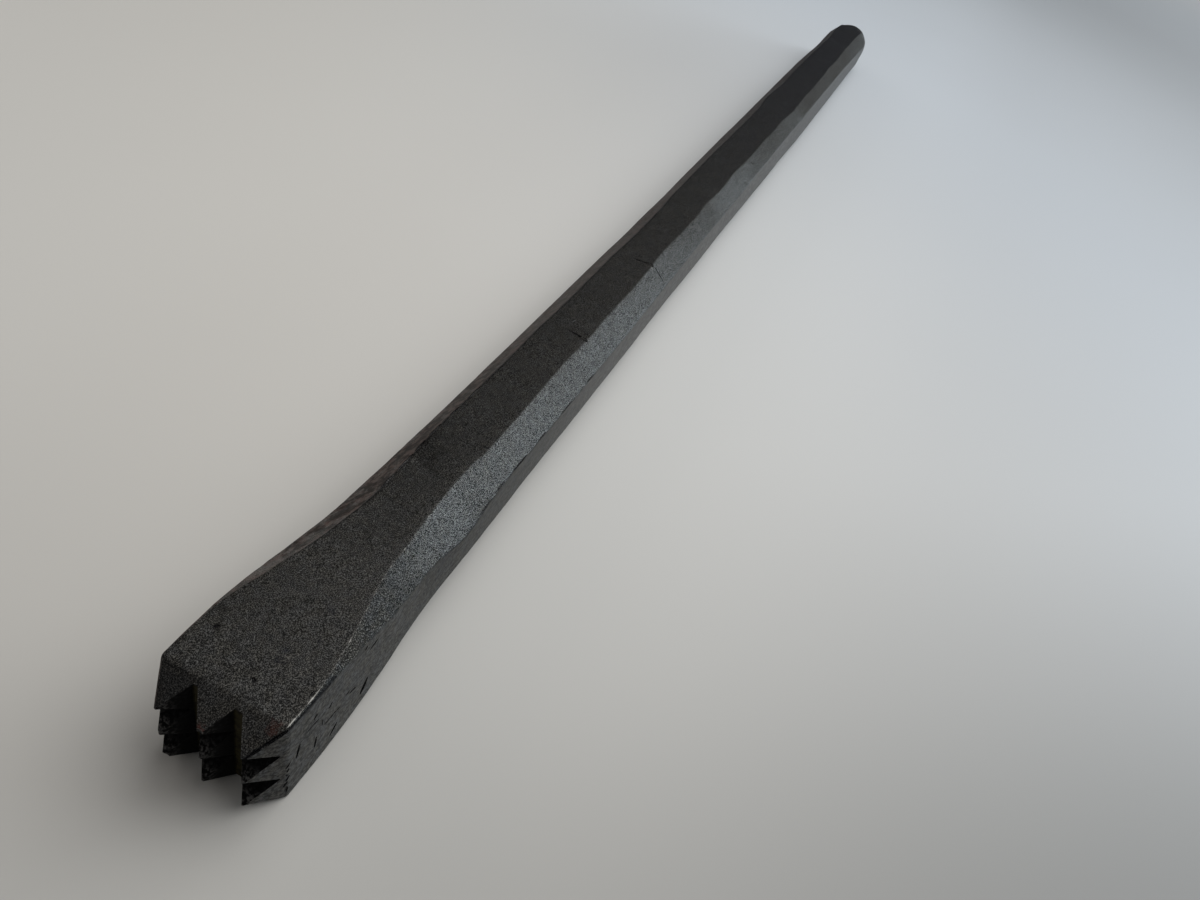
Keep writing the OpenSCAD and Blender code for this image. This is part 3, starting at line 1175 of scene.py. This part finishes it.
@dataclass(frozen=True)
class ForgeScale:
    """Dark, finely granular forge scale, smoother on the upright sides and bright where it is worn, with
    painted light and shade in its colour.
    """

    stains: tuple[Stain, ...]
    tips_at: float
    dark: Colour = (0.006, 0.006, 0.006)
    light: Colour = (0.028, 0.0275, 0.026)
    # The colour of painted glints.
    painted_glint: Colour = (0.11, 0.11, 0.106)
    side: Colour = (0.042, 0.042, 0.042)
    rust: Colour = (0.046, 0.032, 0.029)
    # Rubbed steel, also the colour of the painted highlight along the top right arris.
    steel: Colour = (0.40, 0.39, 0.37)
    # Soot, and also the colour of painted shade on the teeth's front and slopes and of the painted shadow
    # below the head's rubbed edge.
    soot: Colour = (0.004, 0.004, 0.005)
    warm_tint: Colour = (1.04, 1.0, 0.93)
    cool_tint: Colour = (0.98, 0.99, 1.02)
    # Painted shade: the top's darker, bluer tint towards the far end.
    far_painted_shade: Colour = (0.475, 0.57, 0.86)
    # Painted sheen: how much lighter the flared right bevel is made.
    flare_painted_sheen: Colour = (1.72, 1.78, 1.86)
    metallic: float = 0.1
    grain_depth: float = 0.025
    side_relief: float = 0.12
    side_gloss: float = 0.12
    wear_spread: float = 1.3
    stain_raggedness: float = 2.8

    def material(self, name: str = "forge_scale") -> bpy.types.Material:
        """Builds the material.

        Args:
            name: Its name.

        Returns:
            The material.
        """
        made = bpy.data.materials.new(name)
        made.use_nodes = True
        nodes = NodeMaker(made.node_tree)
        zones = ScaleZones(nodes, self.tips_at)
        # The colour gathers painted glints, sheen and shade along with the stains, rust, soot and wear.
        forged = nodes.blend(zones.smooth, self.granular(zones), self.side_scale(zones))
        spots = self.spots(zones)
        stained_and_shaded = self.sooted_and_shaded(zones, self.left_rusted(zones, self.tinted(zones, forged)))
        for stain, spot in zip(self.stains, spots):
            stained_and_shaded = nodes.blend(spot, stained_and_shaded, stain.colour)
        bright, black = self.wear(zones)
        worn = nodes.blend(black, nodes.blend(bright, stained_and_shaded, self.steel), self.soot)
        relief = nodes.add("ShaderNodeBump", {
            "Strength": nodes.ramp(zones.smooth, 0.0, 1.0, 1.0, self.side_relief),
            "Distance": self.grain_depth * MM,
            "Height": zones.grain,
        }).outputs[0]
        shader = made.node_tree.nodes["Principled BSDF"]
        for socket, value in (
            ("Base Color", worn),
            ("Metallic", self.metallic),
            ("Roughness", self.roughness(zones, bright)),
            ("Specular IOR Level", self.gloss(zones, nodes.chain("MAXIMUM", *spots))),
            ("Normal", relief),
        ):
            nodes.feed(shader.inputs[socket], value)
        return made

    def granular(self, zones: ScaleZones) -> bpy.types.NodeSocket:
        """The scale on the top and the bevels: dark and light grains, with painted glints and a painted sheen
        on the right bevel near the head.

        Args:
            zones: The material's zones.

        Returns:
            The socket of the colour.
        """
        nodes = zones.nodes
        grains = nodes.blend(nodes.ramp(zones.grain, 0.45, 0.63), self.dark, self.light)
        # Painted glints: light specks where the scale would catch the light.
        glint = zones.noise(11.0, 0.0, 0.5, (31.0, 17.0, 5.0))
        sparks = nodes.times(nodes.ramp(glint, 0.58, 0.76), 0.7)
        # Painted sheen: the right bevel near the head is lightened where it would mirror the window.
        opening = nodes.times(zones.right_bevel, nodes.ramp(zones.along, 17.0, 12.0))
        painted_sheen = nodes.blend(opening, WHITE, self.flare_painted_sheen)
        return nodes.vector("MULTIPLY", nodes.blend(sparks, grains, self.painted_glint), painted_sheen)

    def side_scale(self, zones: ScaleZones) -> bpy.types.NodeSocket:
        """The smooth scale on the upright sides: streaked along the bar, and speckled at the head.

        Args:
            zones: The material's zones.

        Returns:
            The socket of the colour.
        """
        nodes = zones.nodes
        near_head = nodes.ramp(zones.along, 35.0, 10.0)
        stretched = nodes.vector("MULTIPLY", zones.mm, (0.5, 3.5, 3.5))
        streak = nodes.ramp(nodes.noise(stretched, 3.0, 0.6), 0.3, 0.7, 0.75, 1.2)
        darkest = nodes.sum("MULTIPLY_ADD", near_head, -0.35, 0.65)
        lightest = nodes.sum("MULTIPLY_ADD", near_head, 0.35, 1.35)
        pitting = zones.noise(4.0, 2.0, 0.7, (3.0, 29.0, 13.0))
        speckle = nodes.ramp(pitting, 0.35, 0.65, darkest, lightest)
        lighter = nodes.sum("MULTIPLY_ADD", near_head, 0.15, 1.0)
        return nodes.vector("SCALE", self.side, nodes.times(streak, speckle, lighter))

    def tinted(self, zones: ScaleZones, colour: object) -> bpy.types.NodeSocket:
        """A colour with the scale's warm and cool patches, and with painted shade along the top: darker
        behind the head, darker and bluer towards the far end, and dimmed at the crease.

        Args:
            zones: The material's zones.
            colour: The socket of the colour.

        Returns:
            The socket of the tinted colour.
        """
        nodes = zones.nodes
        hue = zones.noise(1.1, 2.0, 0.5, (7.0, 53.0, 11.0))
        patchy = nodes.blend(nodes.ramp(hue, 0.38, 0.62), self.warm_tint, self.cool_tint)
        # Painted shade along the top: darker and bluer far off, darker behind the head, and dimmed at the
        # crease.
        far_shaded_top = nodes.blend(zones.far_top, WHITE, self.far_painted_shade)
        shaded_behind_head = nodes.sum("MULTIPLY_ADD", zones.behind_head, -0.29, 1.0)
        painted_top_shade = nodes.vector("SCALE", far_shaded_top, nodes.times(zones.lit, shaded_behind_head))
        return nodes.vector("MULTIPLY", nodes.vector("MULTIPLY", colour, patchy), painted_top_shade)

    def left_rusted(self, zones: ScaleZones, colour: object) -> bpy.types.NodeSocket:
        """A colour with thin rust on what faces left, mottled most behind the head, and with painted shade
        that darkens the rust towards the far end.

        Args:
            zones: The material's zones.
            colour: The socket of the colour.

        Returns:
            The socket of the rusted colour.
        """
        nodes = zones.nodes
        share = nodes.times(zones.left_side, nodes.ramp(zones.coarse, 0.40, 0.58, 0.25, 0.75))
        # Rust, darkened towards the far end by painted shade.
        rust_and_far_shade = nodes.vector("SCALE", self.rust, nodes.ramp(zones.along, 80.0, 170.0, 1.1, 0.55))
        darkest = nodes.ramp(zones.along, 22.0, 70.0, 0.45, 0.80)
        lightest = nodes.ramp(zones.along, 22.0, 70.0, 1.95, 1.30)
        patch = zones.noise(0.9, 3.0, 0.7, (19.0, 5.0, 41.0))
        mottle = nodes.sum("SUBTRACT", nodes.ramp(patch, 0.43, 0.57, darkest, lightest), 1.0)
        patched = nodes.sum("MULTIPLY_ADD", mottle, zones.left_side, 1.0)
        return nodes.vector("SCALE", nodes.blend(share, colour, rust_and_far_shade), patched)

    def sooted_and_shaded(self, zones: ScaleZones, colour: object) -> bpy.types.NodeSocket:
        """A colour with painted shade on the teeth's front and on their slopes at the left, and with soot on
        the struck end.

        Args:
            zones: The material's zones.
            colour: The socket of the colour.

        Returns:
            The socket of the colour with its soot and painted shade.
        """
        nodes = zones.nodes
        # Painted shade: the teeth's front and their slopes at the left are darkened.
        front = nodes.times(nodes.ramp(zones.endward, -0.60, -0.74), 0.9)
        share = nodes.chain("MAXIMUM", front, zones.struck, zones.left_slope)
        return nodes.blend(share, colour, self.soot)

    def spots(self, zones: ScaleZones) -> list[bpy.types.NodeSocket]:
        """How strong each stain is.

        Args:
            zones: The material's zones.

        Returns:
            The sockets of their shares, in the order of the stains.
        """
        nodes = zones.nodes
        uneven = nodes.centred(zones.noise(3.0, 2.0, 0.6))
        shares = []
        for stain in self.stains:
            centre = (stain.place[0] + self.tips_at, stain.place[1], stain.place[2])
            distance = nodes.vector("DISTANCE", zones.mm, centre)
            ragged = nodes.sum("MULTIPLY_ADD", uneven, self.stain_raggedness * stain.radius, distance)
            shares.append(nodes.ramp(ragged, stain.radius, 0.0, 0.0, stain.strength))
        return shares

    def wear(self, zones: ScaleZones) -> tuple[bpy.types.NodeSocket, bpy.types.NodeSocket]:
        """Where the steel is rubbed bright, partly a painted highlight along the top right arris, and where
        it is black: soot, the painted shadow below that arris at the head, and pits.

        Args:
            zones: The material's zones.

        Returns:
            The sockets of the two shares.
        """
        nodes = zones.nodes
        worn = nodes.detail(Detail.WORN)
        uneven = nodes.centred(zones.noise(1.4, 2.0, 0.6))
        bright = nodes.ramp(nodes.sum("MULTIPLY_ADD", uneven, self.wear_spread, worn), 0.62, 1.05)
        # The dark share: soot, and the painted shadow below the head's rubbed edge.
        soot_and_shadow = nodes.ramp(nodes.sum("MULTIPLY_ADD", uneven, -self.wear_spread, worn), -0.30, -0.85)
        return bright, nodes.chain("MAXIMUM", nodes.times(soot_and_shadow, 0.85), nodes.detail(Detail.PITTED))

    def roughness(self, zones: ScaleZones, bright: object) -> bpy.types.NodeSocket:
        """How rough the scale is: more so on the sides near the head, and less where it is rubbed.

        Args:
            zones: The material's zones.
            bright: The socket of the rubbed share.

        Returns:
            The socket of the roughness.
        """
        nodes = zones.nodes
        near_head = nodes.ramp(zones.along, 15.0, 60.0, 0.22, 0.05)
        leftwards = nodes.ramp(zones.leftward, 0.0, 0.3, 0.0, 0.12)
        sides = nodes.times(zones.smooth, nodes.sum("ADD", near_head, leftwards))
        rough = nodes.sum("ADD", nodes.ramp(zones.medium, 0.3, 0.7, 0.31, 0.40), sides)
        return nodes.sum("MULTIPLY_ADD", bright, -0.12, rough)

    def gloss(self, zones: ScaleZones, dull: object) -> bpy.types.NodeSocket:
        """How strongly the scale mirrors the light: in crisp grains on the right bevel, softer elsewhere.

        Args:
            zones: The material's zones.
            dull: The socket of the strongest stain's share.

        Returns:
            The socket of the specular level.
        """
        nodes = zones.nodes
        # Where the painted sheen on the flared bevel takes the place of its gloss.
        flare = nodes.times(nodes.ramp(zones.along, 23.0, 12.0, 0.0, 0.88), zones.right_bevel)
        soiled = nodes.chain("MAXIMUM", flare, nodes.times(dull, 0.9), zones.left_slope, zones.struck)
        behind = nodes.sum("MULTIPLY_ADD", zones.behind_head, -0.22, 1.0)
        dim = nodes.sum("MULTIPLY_ADD", zones.far_top, -0.25, behind)
        crisp = nodes.ramp(zones.grain, 0.475, 0.575, 0.0, nodes.ramp(zones.along, 100.0, 190.0, 0.88, 0.78))
        soft = nodes.ramp(zones.grain, 0.42, 0.72, 0.08, 0.95)
        sheen = nodes.between(zones.right_bevel, soft, crisp)
        grains = nodes.times(sheen, zones.lit, nodes.sum("SUBTRACT", 1.0, soiled), dim)
        return nodes.between(zones.smooth, grains, self.side_gloss)


@dataclass(frozen=True)
class FiledSteel:
    """The walls of the grooves: filed steel painted nearly black, partly dirt and partly painted shade, with
    stone dust in their roots.
    """

    tips_at: float
    dark: Colour = (0.0012, 0.0012, 0.0013)
    light: Colour = (0.010, 0.010, 0.011)
    tip: Colour = (0.075, 0.073, 0.072)
    dust: Colour = (0.036, 0.031, 0.014)
    specular: float = 0.04
    relief: float = 0.8
    grain_depth: float = 0.04

    def material(self, name: str = "filed_steel") -> bpy.types.Material:
        """Builds the material.

        Args:
            name: Its name.

        Returns:
            The material.
        """
        made = bpy.data.materials.new(name)
        made.use_nodes = True
        nodes = NodeMaker(made.node_tree)
        mm = nodes.vector("SCALE", nodes.add("ShaderNodeTexCoord").outputs["Object"], PER_MM)
        grain = nodes.noise(mm, 3.0, 0.7, 3.6)
        coarse = nodes.noise(mm, 2.0, 0.5, 1.6)
        along = nodes.sum("SUBTRACT", nodes.separate(mm)[0], self.tips_at)
        bare = nodes.times(nodes.ramp(along, 1.1, 0.2), nodes.ramp(grain, 0.45, 0.62))
        # Nearly black: partly dirt, partly painted shade in the grooves.
        black_and_shaded = nodes.blend(nodes.ramp(grain, 0.42, 0.68), self.dark, self.light)
        body = nodes.blend(bare, black_and_shaded, self.tip)
        in_root = nodes.ramp(nodes.detail(Detail.DUSTY), 0.93, 1.0)
        caked = nodes.times(in_root, nodes.ramp(coarse, 0.35, 0.6, 0.35, 1.0))
        bump = nodes.add("ShaderNodeBump", {
            "Strength": self.relief, "Distance": self.grain_depth * MM, "Height": grain,
        }).outputs[0]
        shader = made.node_tree.nodes["Principled BSDF"]
        for socket, value in (
            ("Base Color", nodes.blend(caked, body, self.dust)),
            ("Metallic", 0.0),
            ("Roughness", nodes.ramp(grain, 0.3, 0.7, 0.55, 0.7)),
            ("Specular IOR Level", self.specular),
            ("Normal", bump),
        ):
            nodes.feed(shader.inputs[socket], value)
        return made


def surface_flaws() -> tuple[Flaw, ...]:
    """The flaws of this chisel.

    Returns:
        The pits on the head's right side, the laps and scratches on the top, and the chips off the edges.
    """
    return (
        Flaw((4.25, -4.95, 6.61), (5.23, -4.97, 6.60), 0.15),
        Flaw((6.16, -4.97, 4.63), (7.64, -4.98, 4.53), 0.14),
        Flaw((5.11, -4.96, 2.97), (5.24, -4.96, 4.20), 0.13),
        Flaw((3.25, -4.88, 4.70), (3.52, -4.90, 6.07), 0.14),
        Flaw((6.97, -4.97, 1.69), (7.53, -4.98, 2.37), 0.18),
        Flaw((10.50, -4.98, 2.40), (11.05, -4.98, 3.40), 0.26),
        Flaw((11.05, -4.98, 7.72), (11.67, -4.98, 7.88), 0.17),
        Flaw((8.97, -4.98, 4.67), (9.45, -4.98, 4.50), 0.15),
        Flaw((6.49, -4.97, 6.34), (6.70, -4.97, 6.60), 0.13),
        Flaw((4.91, -4.95, 7.34), (5.09, -4.95, 7.57), 0.12),
        Flaw((8.57, -4.98, 5.05), (8.75, -4.98, 5.12), 0.12),
        Flaw((5.80, -4.97, 4.95), (5.85, -4.97, 5.74), 0.09),
        Flaw((10.31, -4.98, 8.58), (10.42, -4.98, 8.71), 0.13),
        Flaw((3.85, -1.05, 9.95), (3.95, -0.88, 9.95), 0.12),
        Flaw((4.96, -4.47, 9.97), (5.26, -4.52, 9.97), 0.09),
        Flaw((5.60, 3.60, 9.97), (5.80, 3.42, 9.97), 0.10),
        Flaw((53.10, 0.16, 9.60), (52.89, -2.40, 9.60), 0.18),
        Flaw((52.92, -1.60, 9.60), (52.86, -2.45, 9.58), 0.24),
        Flaw((72.70, 0.40, 9.43), (73.29, -2.40, 9.43), 0.20),
        Flaw((73.15, -1.60, 9.42), (73.32, -2.50, 9.40), 0.27),
        Flaw((73.70, -2.55, 9.01), (74.15, -4.20, 7.34), 0.09),
        Flaw((55.90, 0.60, 9.55), (56.18, 0.16, 9.55), 0.08, 0.0),
        Flaw((54.79, 0.24, 9.56), (55.51, 0.00, 9.56), 0.08, 0.0),
        Flaw((56.30, -0.20, 9.54), (58.47, -1.29, 9.52), 0.06, 0.0),
        Flaw((26.5, -4.80, 7.28), (28.6, -4.76, 7.56), 0.11),
        Flaw((29.4, -4.72, 7.58), (31.4, -4.69, 7.62), 0.10),
        Flaw((32.8, -4.68, 7.58), (35.6, -4.65, 7.48), 0.11),
        Flaw((38.0, -4.64, 7.40), (39.6, -4.63, 7.36), 0.10),
        Flaw((43.0, -4.65, 7.26), (45.6, -4.66, 7.26), 0.10),
        Flaw((49.5, -4.66, 7.30), (51.0, -4.65, 7.28), 0.10),
        Flaw((22.4, 2.25, 9.79), (24.4, 2.24, 9.83), 0.20),
        Flaw((24.9, 2.32, 9.80), (26.9, 2.32, 9.80), 0.25),
        Flaw((27.5, 2.34, 9.79), (29.0, 2.40, 9.79), 0.22),
        Flaw((29.9, 2.47, 9.77), (31.6, 2.51, 9.75), 0.20),
        Flaw((33.3, 2.49, 9.70), (34.6, 2.46, 9.67), 0.17),
        Flaw((36.2, 2.46, 9.65), (38.6, 2.42, 9.62), 0.14),
        Flaw((31.9, -2.40, 9.88), (31.4, -1.60, 9.90), 0.08),
        Flaw((2.35, -4.78, 9.78), (1.00, -3.92, 8.86), 0.17),
        Flaw((1.30, -4.11, 9.06), (0.10, -3.35, 8.26), 0.13),
        Flaw((2.30, -4.83, 4.62), (2.62, -4.90, 5.02), 0.12),
        Flaw((2.42, -4.88, 3.95), (2.50, -4.90, 4.35), 0.13),
        Flaw((2.40, -4.86, 3.40), (2.30, -4.82, 3.72), 0.10),
        Flaw((2.34, -4.85, 2.72), (2.55, -4.90, 3.12), 0.15),
        Flaw((2.20, -4.74, 2.02), (2.42, -4.86, 2.48), 0.13, 0.7),
        Flaw((2.36, -4.82, 1.10), (2.40, -4.84, 1.55), 0.17, 0.3),
        Flaw((-0.15, -0.05, 8.35), (-0.15, 0.10, 8.35), 0.45, 0.0),
        Flaw((-0.20, 3.15, 1.55), (-0.20, 3.25, 1.55), 0.55, 0.0),
    )


def surface_stains() -> tuple[Stain, ...]:
    """The stains of this chisel.

    Returns:
        The rust tints on the teeth and the dark smudges on the head and neck.
    """
    red, pink = (0.105, 0.042, 0.034), (0.110, 0.060, 0.055)
    blue, black = (0.008, 0.009, 0.014), (0.004, 0.004, 0.004)
    return (
        Stain((2.05, -4.00, 9.75), 0.60, 0.35, red),
        Stain((0.25, 0.00, 8.40), 0.45, 0.5, red),
        Stain((12.7, 4.30, 9.40), 0.50, 0.5, pink),
        Stain((14.9, 4.00, 9.20), 0.40, 0.5, pink),
        Stain((17.6, 3.70, 8.90), 0.45, 0.5, pink),
        Stain((6.70, -1.25, 9.93), 0.40, 0.8, blue),
        Stain((5.80, -1.35, 9.93), 0.50, 0.6, blue),
        Stain((8.30, -2.50, 9.93), 0.45, 0.5, blue),
        Stain((5.70, 3.50, 9.93), 0.40, 0.8, black),
        Stain((7.10, 4.10, 9.93), 0.45, 0.5, black),
        Stain((10.60, 0.10, 9.90), 0.45, 0.6, black),
        Stain((10.90, -1.60, 9.90), 0.50, 0.5, blue),
        Stain((21.50, -4.75, 6.60), 1.60, 0.5, (0.026, 0.027, 0.031)),
    )


@dataclass(frozen=True)
class SoftBox:
    """A rectangular lamp that faces the chisel, with its place and size in metres and its power in watts."""

    name: str
    place: tuple[float, float, float]
    size: tuple[float, float]
    power: float
    colour: Colour

    def hang(self) -> None:
        """Hangs the lamp in the scene."""
        light = bpy.data.lights.new(self.name, "AREA")
        light.shape = "RECTANGLE"
        light.size, light.size_y = self.size
        light.energy = self.power
        light.color = self.colour
        holder = bpy.data.objects.new(self.name, light)
        holder.location = self.place
        holder.rotation_euler = (-Vector(self.place)).to_track_quat("-Z", "Y").to_euler()
        bpy.context.scene.collection.objects.link(holder)


def soft_boxes() -> tuple[SoftBox, ...]:
    """The lamps: a large one above, three low ones on the right, and two weak ones on the left.

    Returns:
        The lamps.
    """
    return (
        SoftBox("ceiling", (0.46, -0.36, 0.85), (1.22, 1.22), 12.0, (1.0, 0.985, 0.95)),
        SoftBox("near pane", (0.61, -1.06, 0.17), (0.6, 0.25), 4.6, (0.83, 0.94, 1.0)),
        SoftBox("middle pane", (0.94, -0.79, 0.17), (0.5, 0.25), 2.25, (0.83, 0.94, 1.0)),
        SoftBox("far pane", (1.13, -0.45, 0.16), (0.4, 0.22), 0.14, (0.80, 0.93, 1.0)),
        SoftBox("wall", (0.1, 0.95, 0.45), (0.9, 0.5), 1.0, (1.0, 0.90, 0.80)),
        SoftBox("fill", (-0.50, 0.30, 0.80), (0.8, 0.8), 1.0, (1.0, 0.97, 0.93)),
    )


@dataclass
class Studio:
    """A plain pale table under soft light, seen from the head's right.

    The eye and the camera's two directions are in the chisel's millimetres, and the table is in metres.
    """

    lamps: tuple[SoftBox, ...]
    eye: Vector
    forward: Vector
    up: Vector
    lens: float = 25.35
    sensor: float = 36.0
    sight: tuple[float, float] = (0.005, 20.0)
    table_half: float = 3.0
    table_colour: Colour = (0.64, 0.633, 0.615)
    table_roughness: float = 0.6
    # The painted tint of the window's light on the table's right.
    cool: Colour = (0.90, 1.0, 1.15)
    room_colour: Colour = (0.96, 0.98, 1.0)
    dimness: float = 0.04
    haze: Colour = (0.46, 0.465, 0.47)

    def build(self) -> None:
        """Builds the table, lamps, room light and camera."""
        self.table()
        for lamp in self.lamps:
            lamp.hang()
        scene = bpy.context.scene
        scene.world = self.room()
        scene.view_settings.view_transform = "Standard"
        scene.camera = self.camera()

    def camera(self) -> bpy.types.Object:
        """Sets up the camera.

        Returns:
            The camera, in the scene.
        """
        camera = bpy.data.cameras.new("camera")
        camera.lens = self.lens
        camera.sensor_width = self.sensor
        camera.clip_start, camera.clip_end = self.sight
        holder = bpy.data.objects.new("camera", camera)
        right = self.forward.cross(self.up).normalized()
        upright = right.cross(self.forward).normalized()
        turn = Matrix((right, upright, -self.forward.normalized())).transposed()
        holder.matrix_world = Matrix.Translation(self.eye * MM) @ turn.to_4x4()
        bpy.context.scene.collection.objects.link(holder)
        return holder

    def hazed(self, nodes: NodeMaker, kind: str, share: object, lit: object) -> bpy.types.NodeSocket:
        """Puts the plain haze in the place of what is lit.

        Args:
            nodes: The tree's maker.
            kind: Emission for a surface, or Background for the world.
            share: The socket of the haze's share.
            lit: The socket of the shader under it.

        Returns:
            The socket of the mixed shader.
        """
        haze = nodes.add(f"ShaderNode{kind}", {"Color": (*self.haze, 1.0), "Strength": 1.0}).outputs[0]
        inputs = {"Fac": share, "Shader": lit, "Shader_001": haze}
        return nodes.add("ShaderNodeMixShader", inputs).outputs[0]

    def room(self) -> bpy.types.World:
        """Builds the room's own dim light, with the haze where the camera looks past the table.

        Returns:
            The world.
        """
        world = bpy.data.worlds.new("room")
        world.use_nodes = True
        nodes = NodeMaker(world.node_tree)
        shader = world.node_tree.nodes["Background"]
        nodes.feed(shader.inputs["Color"], (*self.room_colour, 1.0))
        nodes.feed(shader.inputs["Strength"], self.dimness)
        seen = nodes.add("ShaderNodeLightPath").outputs["Is Camera Ray"]
        mixed = self.hazed(nodes, "Background", seen, shader.outputs[0])
        nodes.feed(world.node_tree.nodes["World Output"].inputs["Surface"], mixed)
        return world

    def table(self) -> None:
        """Builds the table top, with a painted cool tint of window light on the right and painted light and
        shade on it. To the camera, haze takes its place far off.
        """
        half = self.table_half
        corners = [(-half, -half, 0), (half, -half, 0), (half, half, 0), (-half, half, 0)]
        mesh = bpy.data.meshes.new("table_top")
        mesh.from_pydata(corners, [], [(0, 1, 2, 3)])
        made = bpy.data.materials.new("table_top")
        made.use_nodes = True
        nodes = NodeMaker(made.node_tree)
        place = nodes.add("ShaderNodeTexCoord").outputs["Object"]
        x, y, _ = nodes.separate(place)
        # Painted light: a cool tint on the right, for the window's light.
        window_tint_share = nodes.ramp(nodes.sum("MULTIPLY_ADD", y, -1.2, x), -0.13, 0.18)
        tinted = nodes.vector("MULTIPLY", nodes.blend(window_tint_share, WHITE, self.cool), self.table_colour)
        shader = made.node_tree.nodes["Principled BSDF"]
        colour = nodes.vector("SCALE", tinted, self.painted_table_light(nodes, place))
        nodes.feed(shader.inputs["Base Color"], colour)
        nodes.feed(shader.inputs["Roughness"], self.table_roughness)
        far_off = nodes.ramp(nodes.vector("LENGTH", place), 0.44, 0.85)
        seen = nodes.times(far_off, nodes.add("ShaderNodeLightPath").outputs["Is Camera Ray"])
        surface = self.hazed(nodes, "Emission", seen, shader.outputs[0])
        nodes.feed(made.node_tree.nodes["Material Output"].inputs["Surface"], surface)
        mesh.materials.append(made)
        top = bpy.data.objects.new("table_top", mesh)
        bpy.context.scene.collection.objects.link(top)

    @staticmethod
    def painted_table_light(nodes: NodeMaker, place: object) -> bpy.types.NodeSocket:
        """How bright the table is, in painted light and shade: a painted shadow before the teeth, painted
        shade on the chisel's right, a painted pool of light round the chisel, and darker far behind.

        Args:
            nodes: The material's maker.
            place: The socket of the place, in metres.

        Returns:
            The socket of the brightness.
        """
        x, y, _ = nodes.separate(place)
        cloud = nodes.ramp(nodes.noise(place, 3.0, 0.5, 6.0), 0.3, 0.7, 0.97, 1.0)
        # How far ahead a place is, on the level and in the direction of the camera.
        forward = nodes.sum("ADD", nodes.times(x, 0.868), nodes.times(y, 0.496))
        # Painted shadow before the teeth, deeper towards the right, with a darker strip nearest the camera.
        near_edge = nodes.ramp(forward, -0.36, -0.13)
        band = nodes.times(nodes.ramp(forward, -0.055, -0.112), near_edge)
        front = nodes.sum("MULTIPLY_ADD", band, nodes.ramp(y, 0.0, -0.08, -0.12, -0.44), 1.0)
        nearest = nodes.times(nodes.ramp(forward, -0.085, -0.12), near_edge)
        painted_near_shadow = nodes.sum("MULTIPLY_ADD", nearest, -0.16, 1.0)
        back = nodes.ramp(nodes.sum("SUBTRACT", x, y), 0.05, 0.5, 1.0, 0.46)
        # Painted shade on the chisel's right, and a painted pool of light round it.
        beside = nodes.ramp(y, -0.02, -0.055, 1.0, 0.94)
        middle = nodes.ramp(nodes.vector("DISTANCE", place, (-0.03, 0.015, 0.0)), 0.10, 0.0, 1.0, 1.14)
        return nodes.times(cloud, middle, front, back, painted_near_shadow, beside)


@dataclass
class BushChisel:
    """The whole tool, put together from its bar, its teeth and its flaws."""

    bar: HammeredBar
    head: ToothedHead
    flaws: ScaleFlaws

    def build(self) -> bpy.types.Object:
        """Builds the chisel, hangs it under the root body and hides the imported part.

        Returns:
            The finished object.
        """
        tips_at = -self.bar.length / 2
        scale = ForgeScale(surface_stains(), tips_at).material()
        filed = FiledSteel(tips_at).material()
        piece = self.bar.build()
        self.bar.skin(scale).apply(piece)
        self.report(piece, "bar")
        self.head.filed(tips_at, scale, filed).apply(piece)
        self.report(piece, "teeth")
        marks = self.flaws.marks(self.bar)
        self.flaws.pitted(marks, scale, filed).apply(piece)
        self.report(piece, "flaws")
        bpy.data.objects.remove(marks)
        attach(piece, "root")
        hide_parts("chisel")
        return piece

    @staticmethod
    def report(piece: bpy.types.Object, stage: str) -> None:
        """Logs how many points and triangles a piece has.

        Args:
            piece: The piece.
            stage: What was just made.
        """
        triangles = sum(len(face.vertices) - 2 for face in piece.data.polygons)
        log.info("%s: %d points, %d triangles", stage, len(piece.data.vertices), triangles)


def main() -> None:
    """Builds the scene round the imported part."""
    logging.basicConfig(level=logging.INFO, format="%(name)s: %(message)s")
    studio = Studio(
        soft_boxes(),
        eye=Vector((-133.55, -20.59, 61.65)),
        forward=Vector((0.7324, 0.1305, -0.6683)),
        up=Vector((0.5539, 0.4568, 0.6961)),
    )
    studio.build()
    bar = HammeredBar(hammer_marks(), top_left_edge(), top_right_edge())
    chisel = BushChisel(bar, ToothedHead(), ScaleFlaws(surface_flaws()))
    chisel.build()


if __name__ == "__main__":
    main()
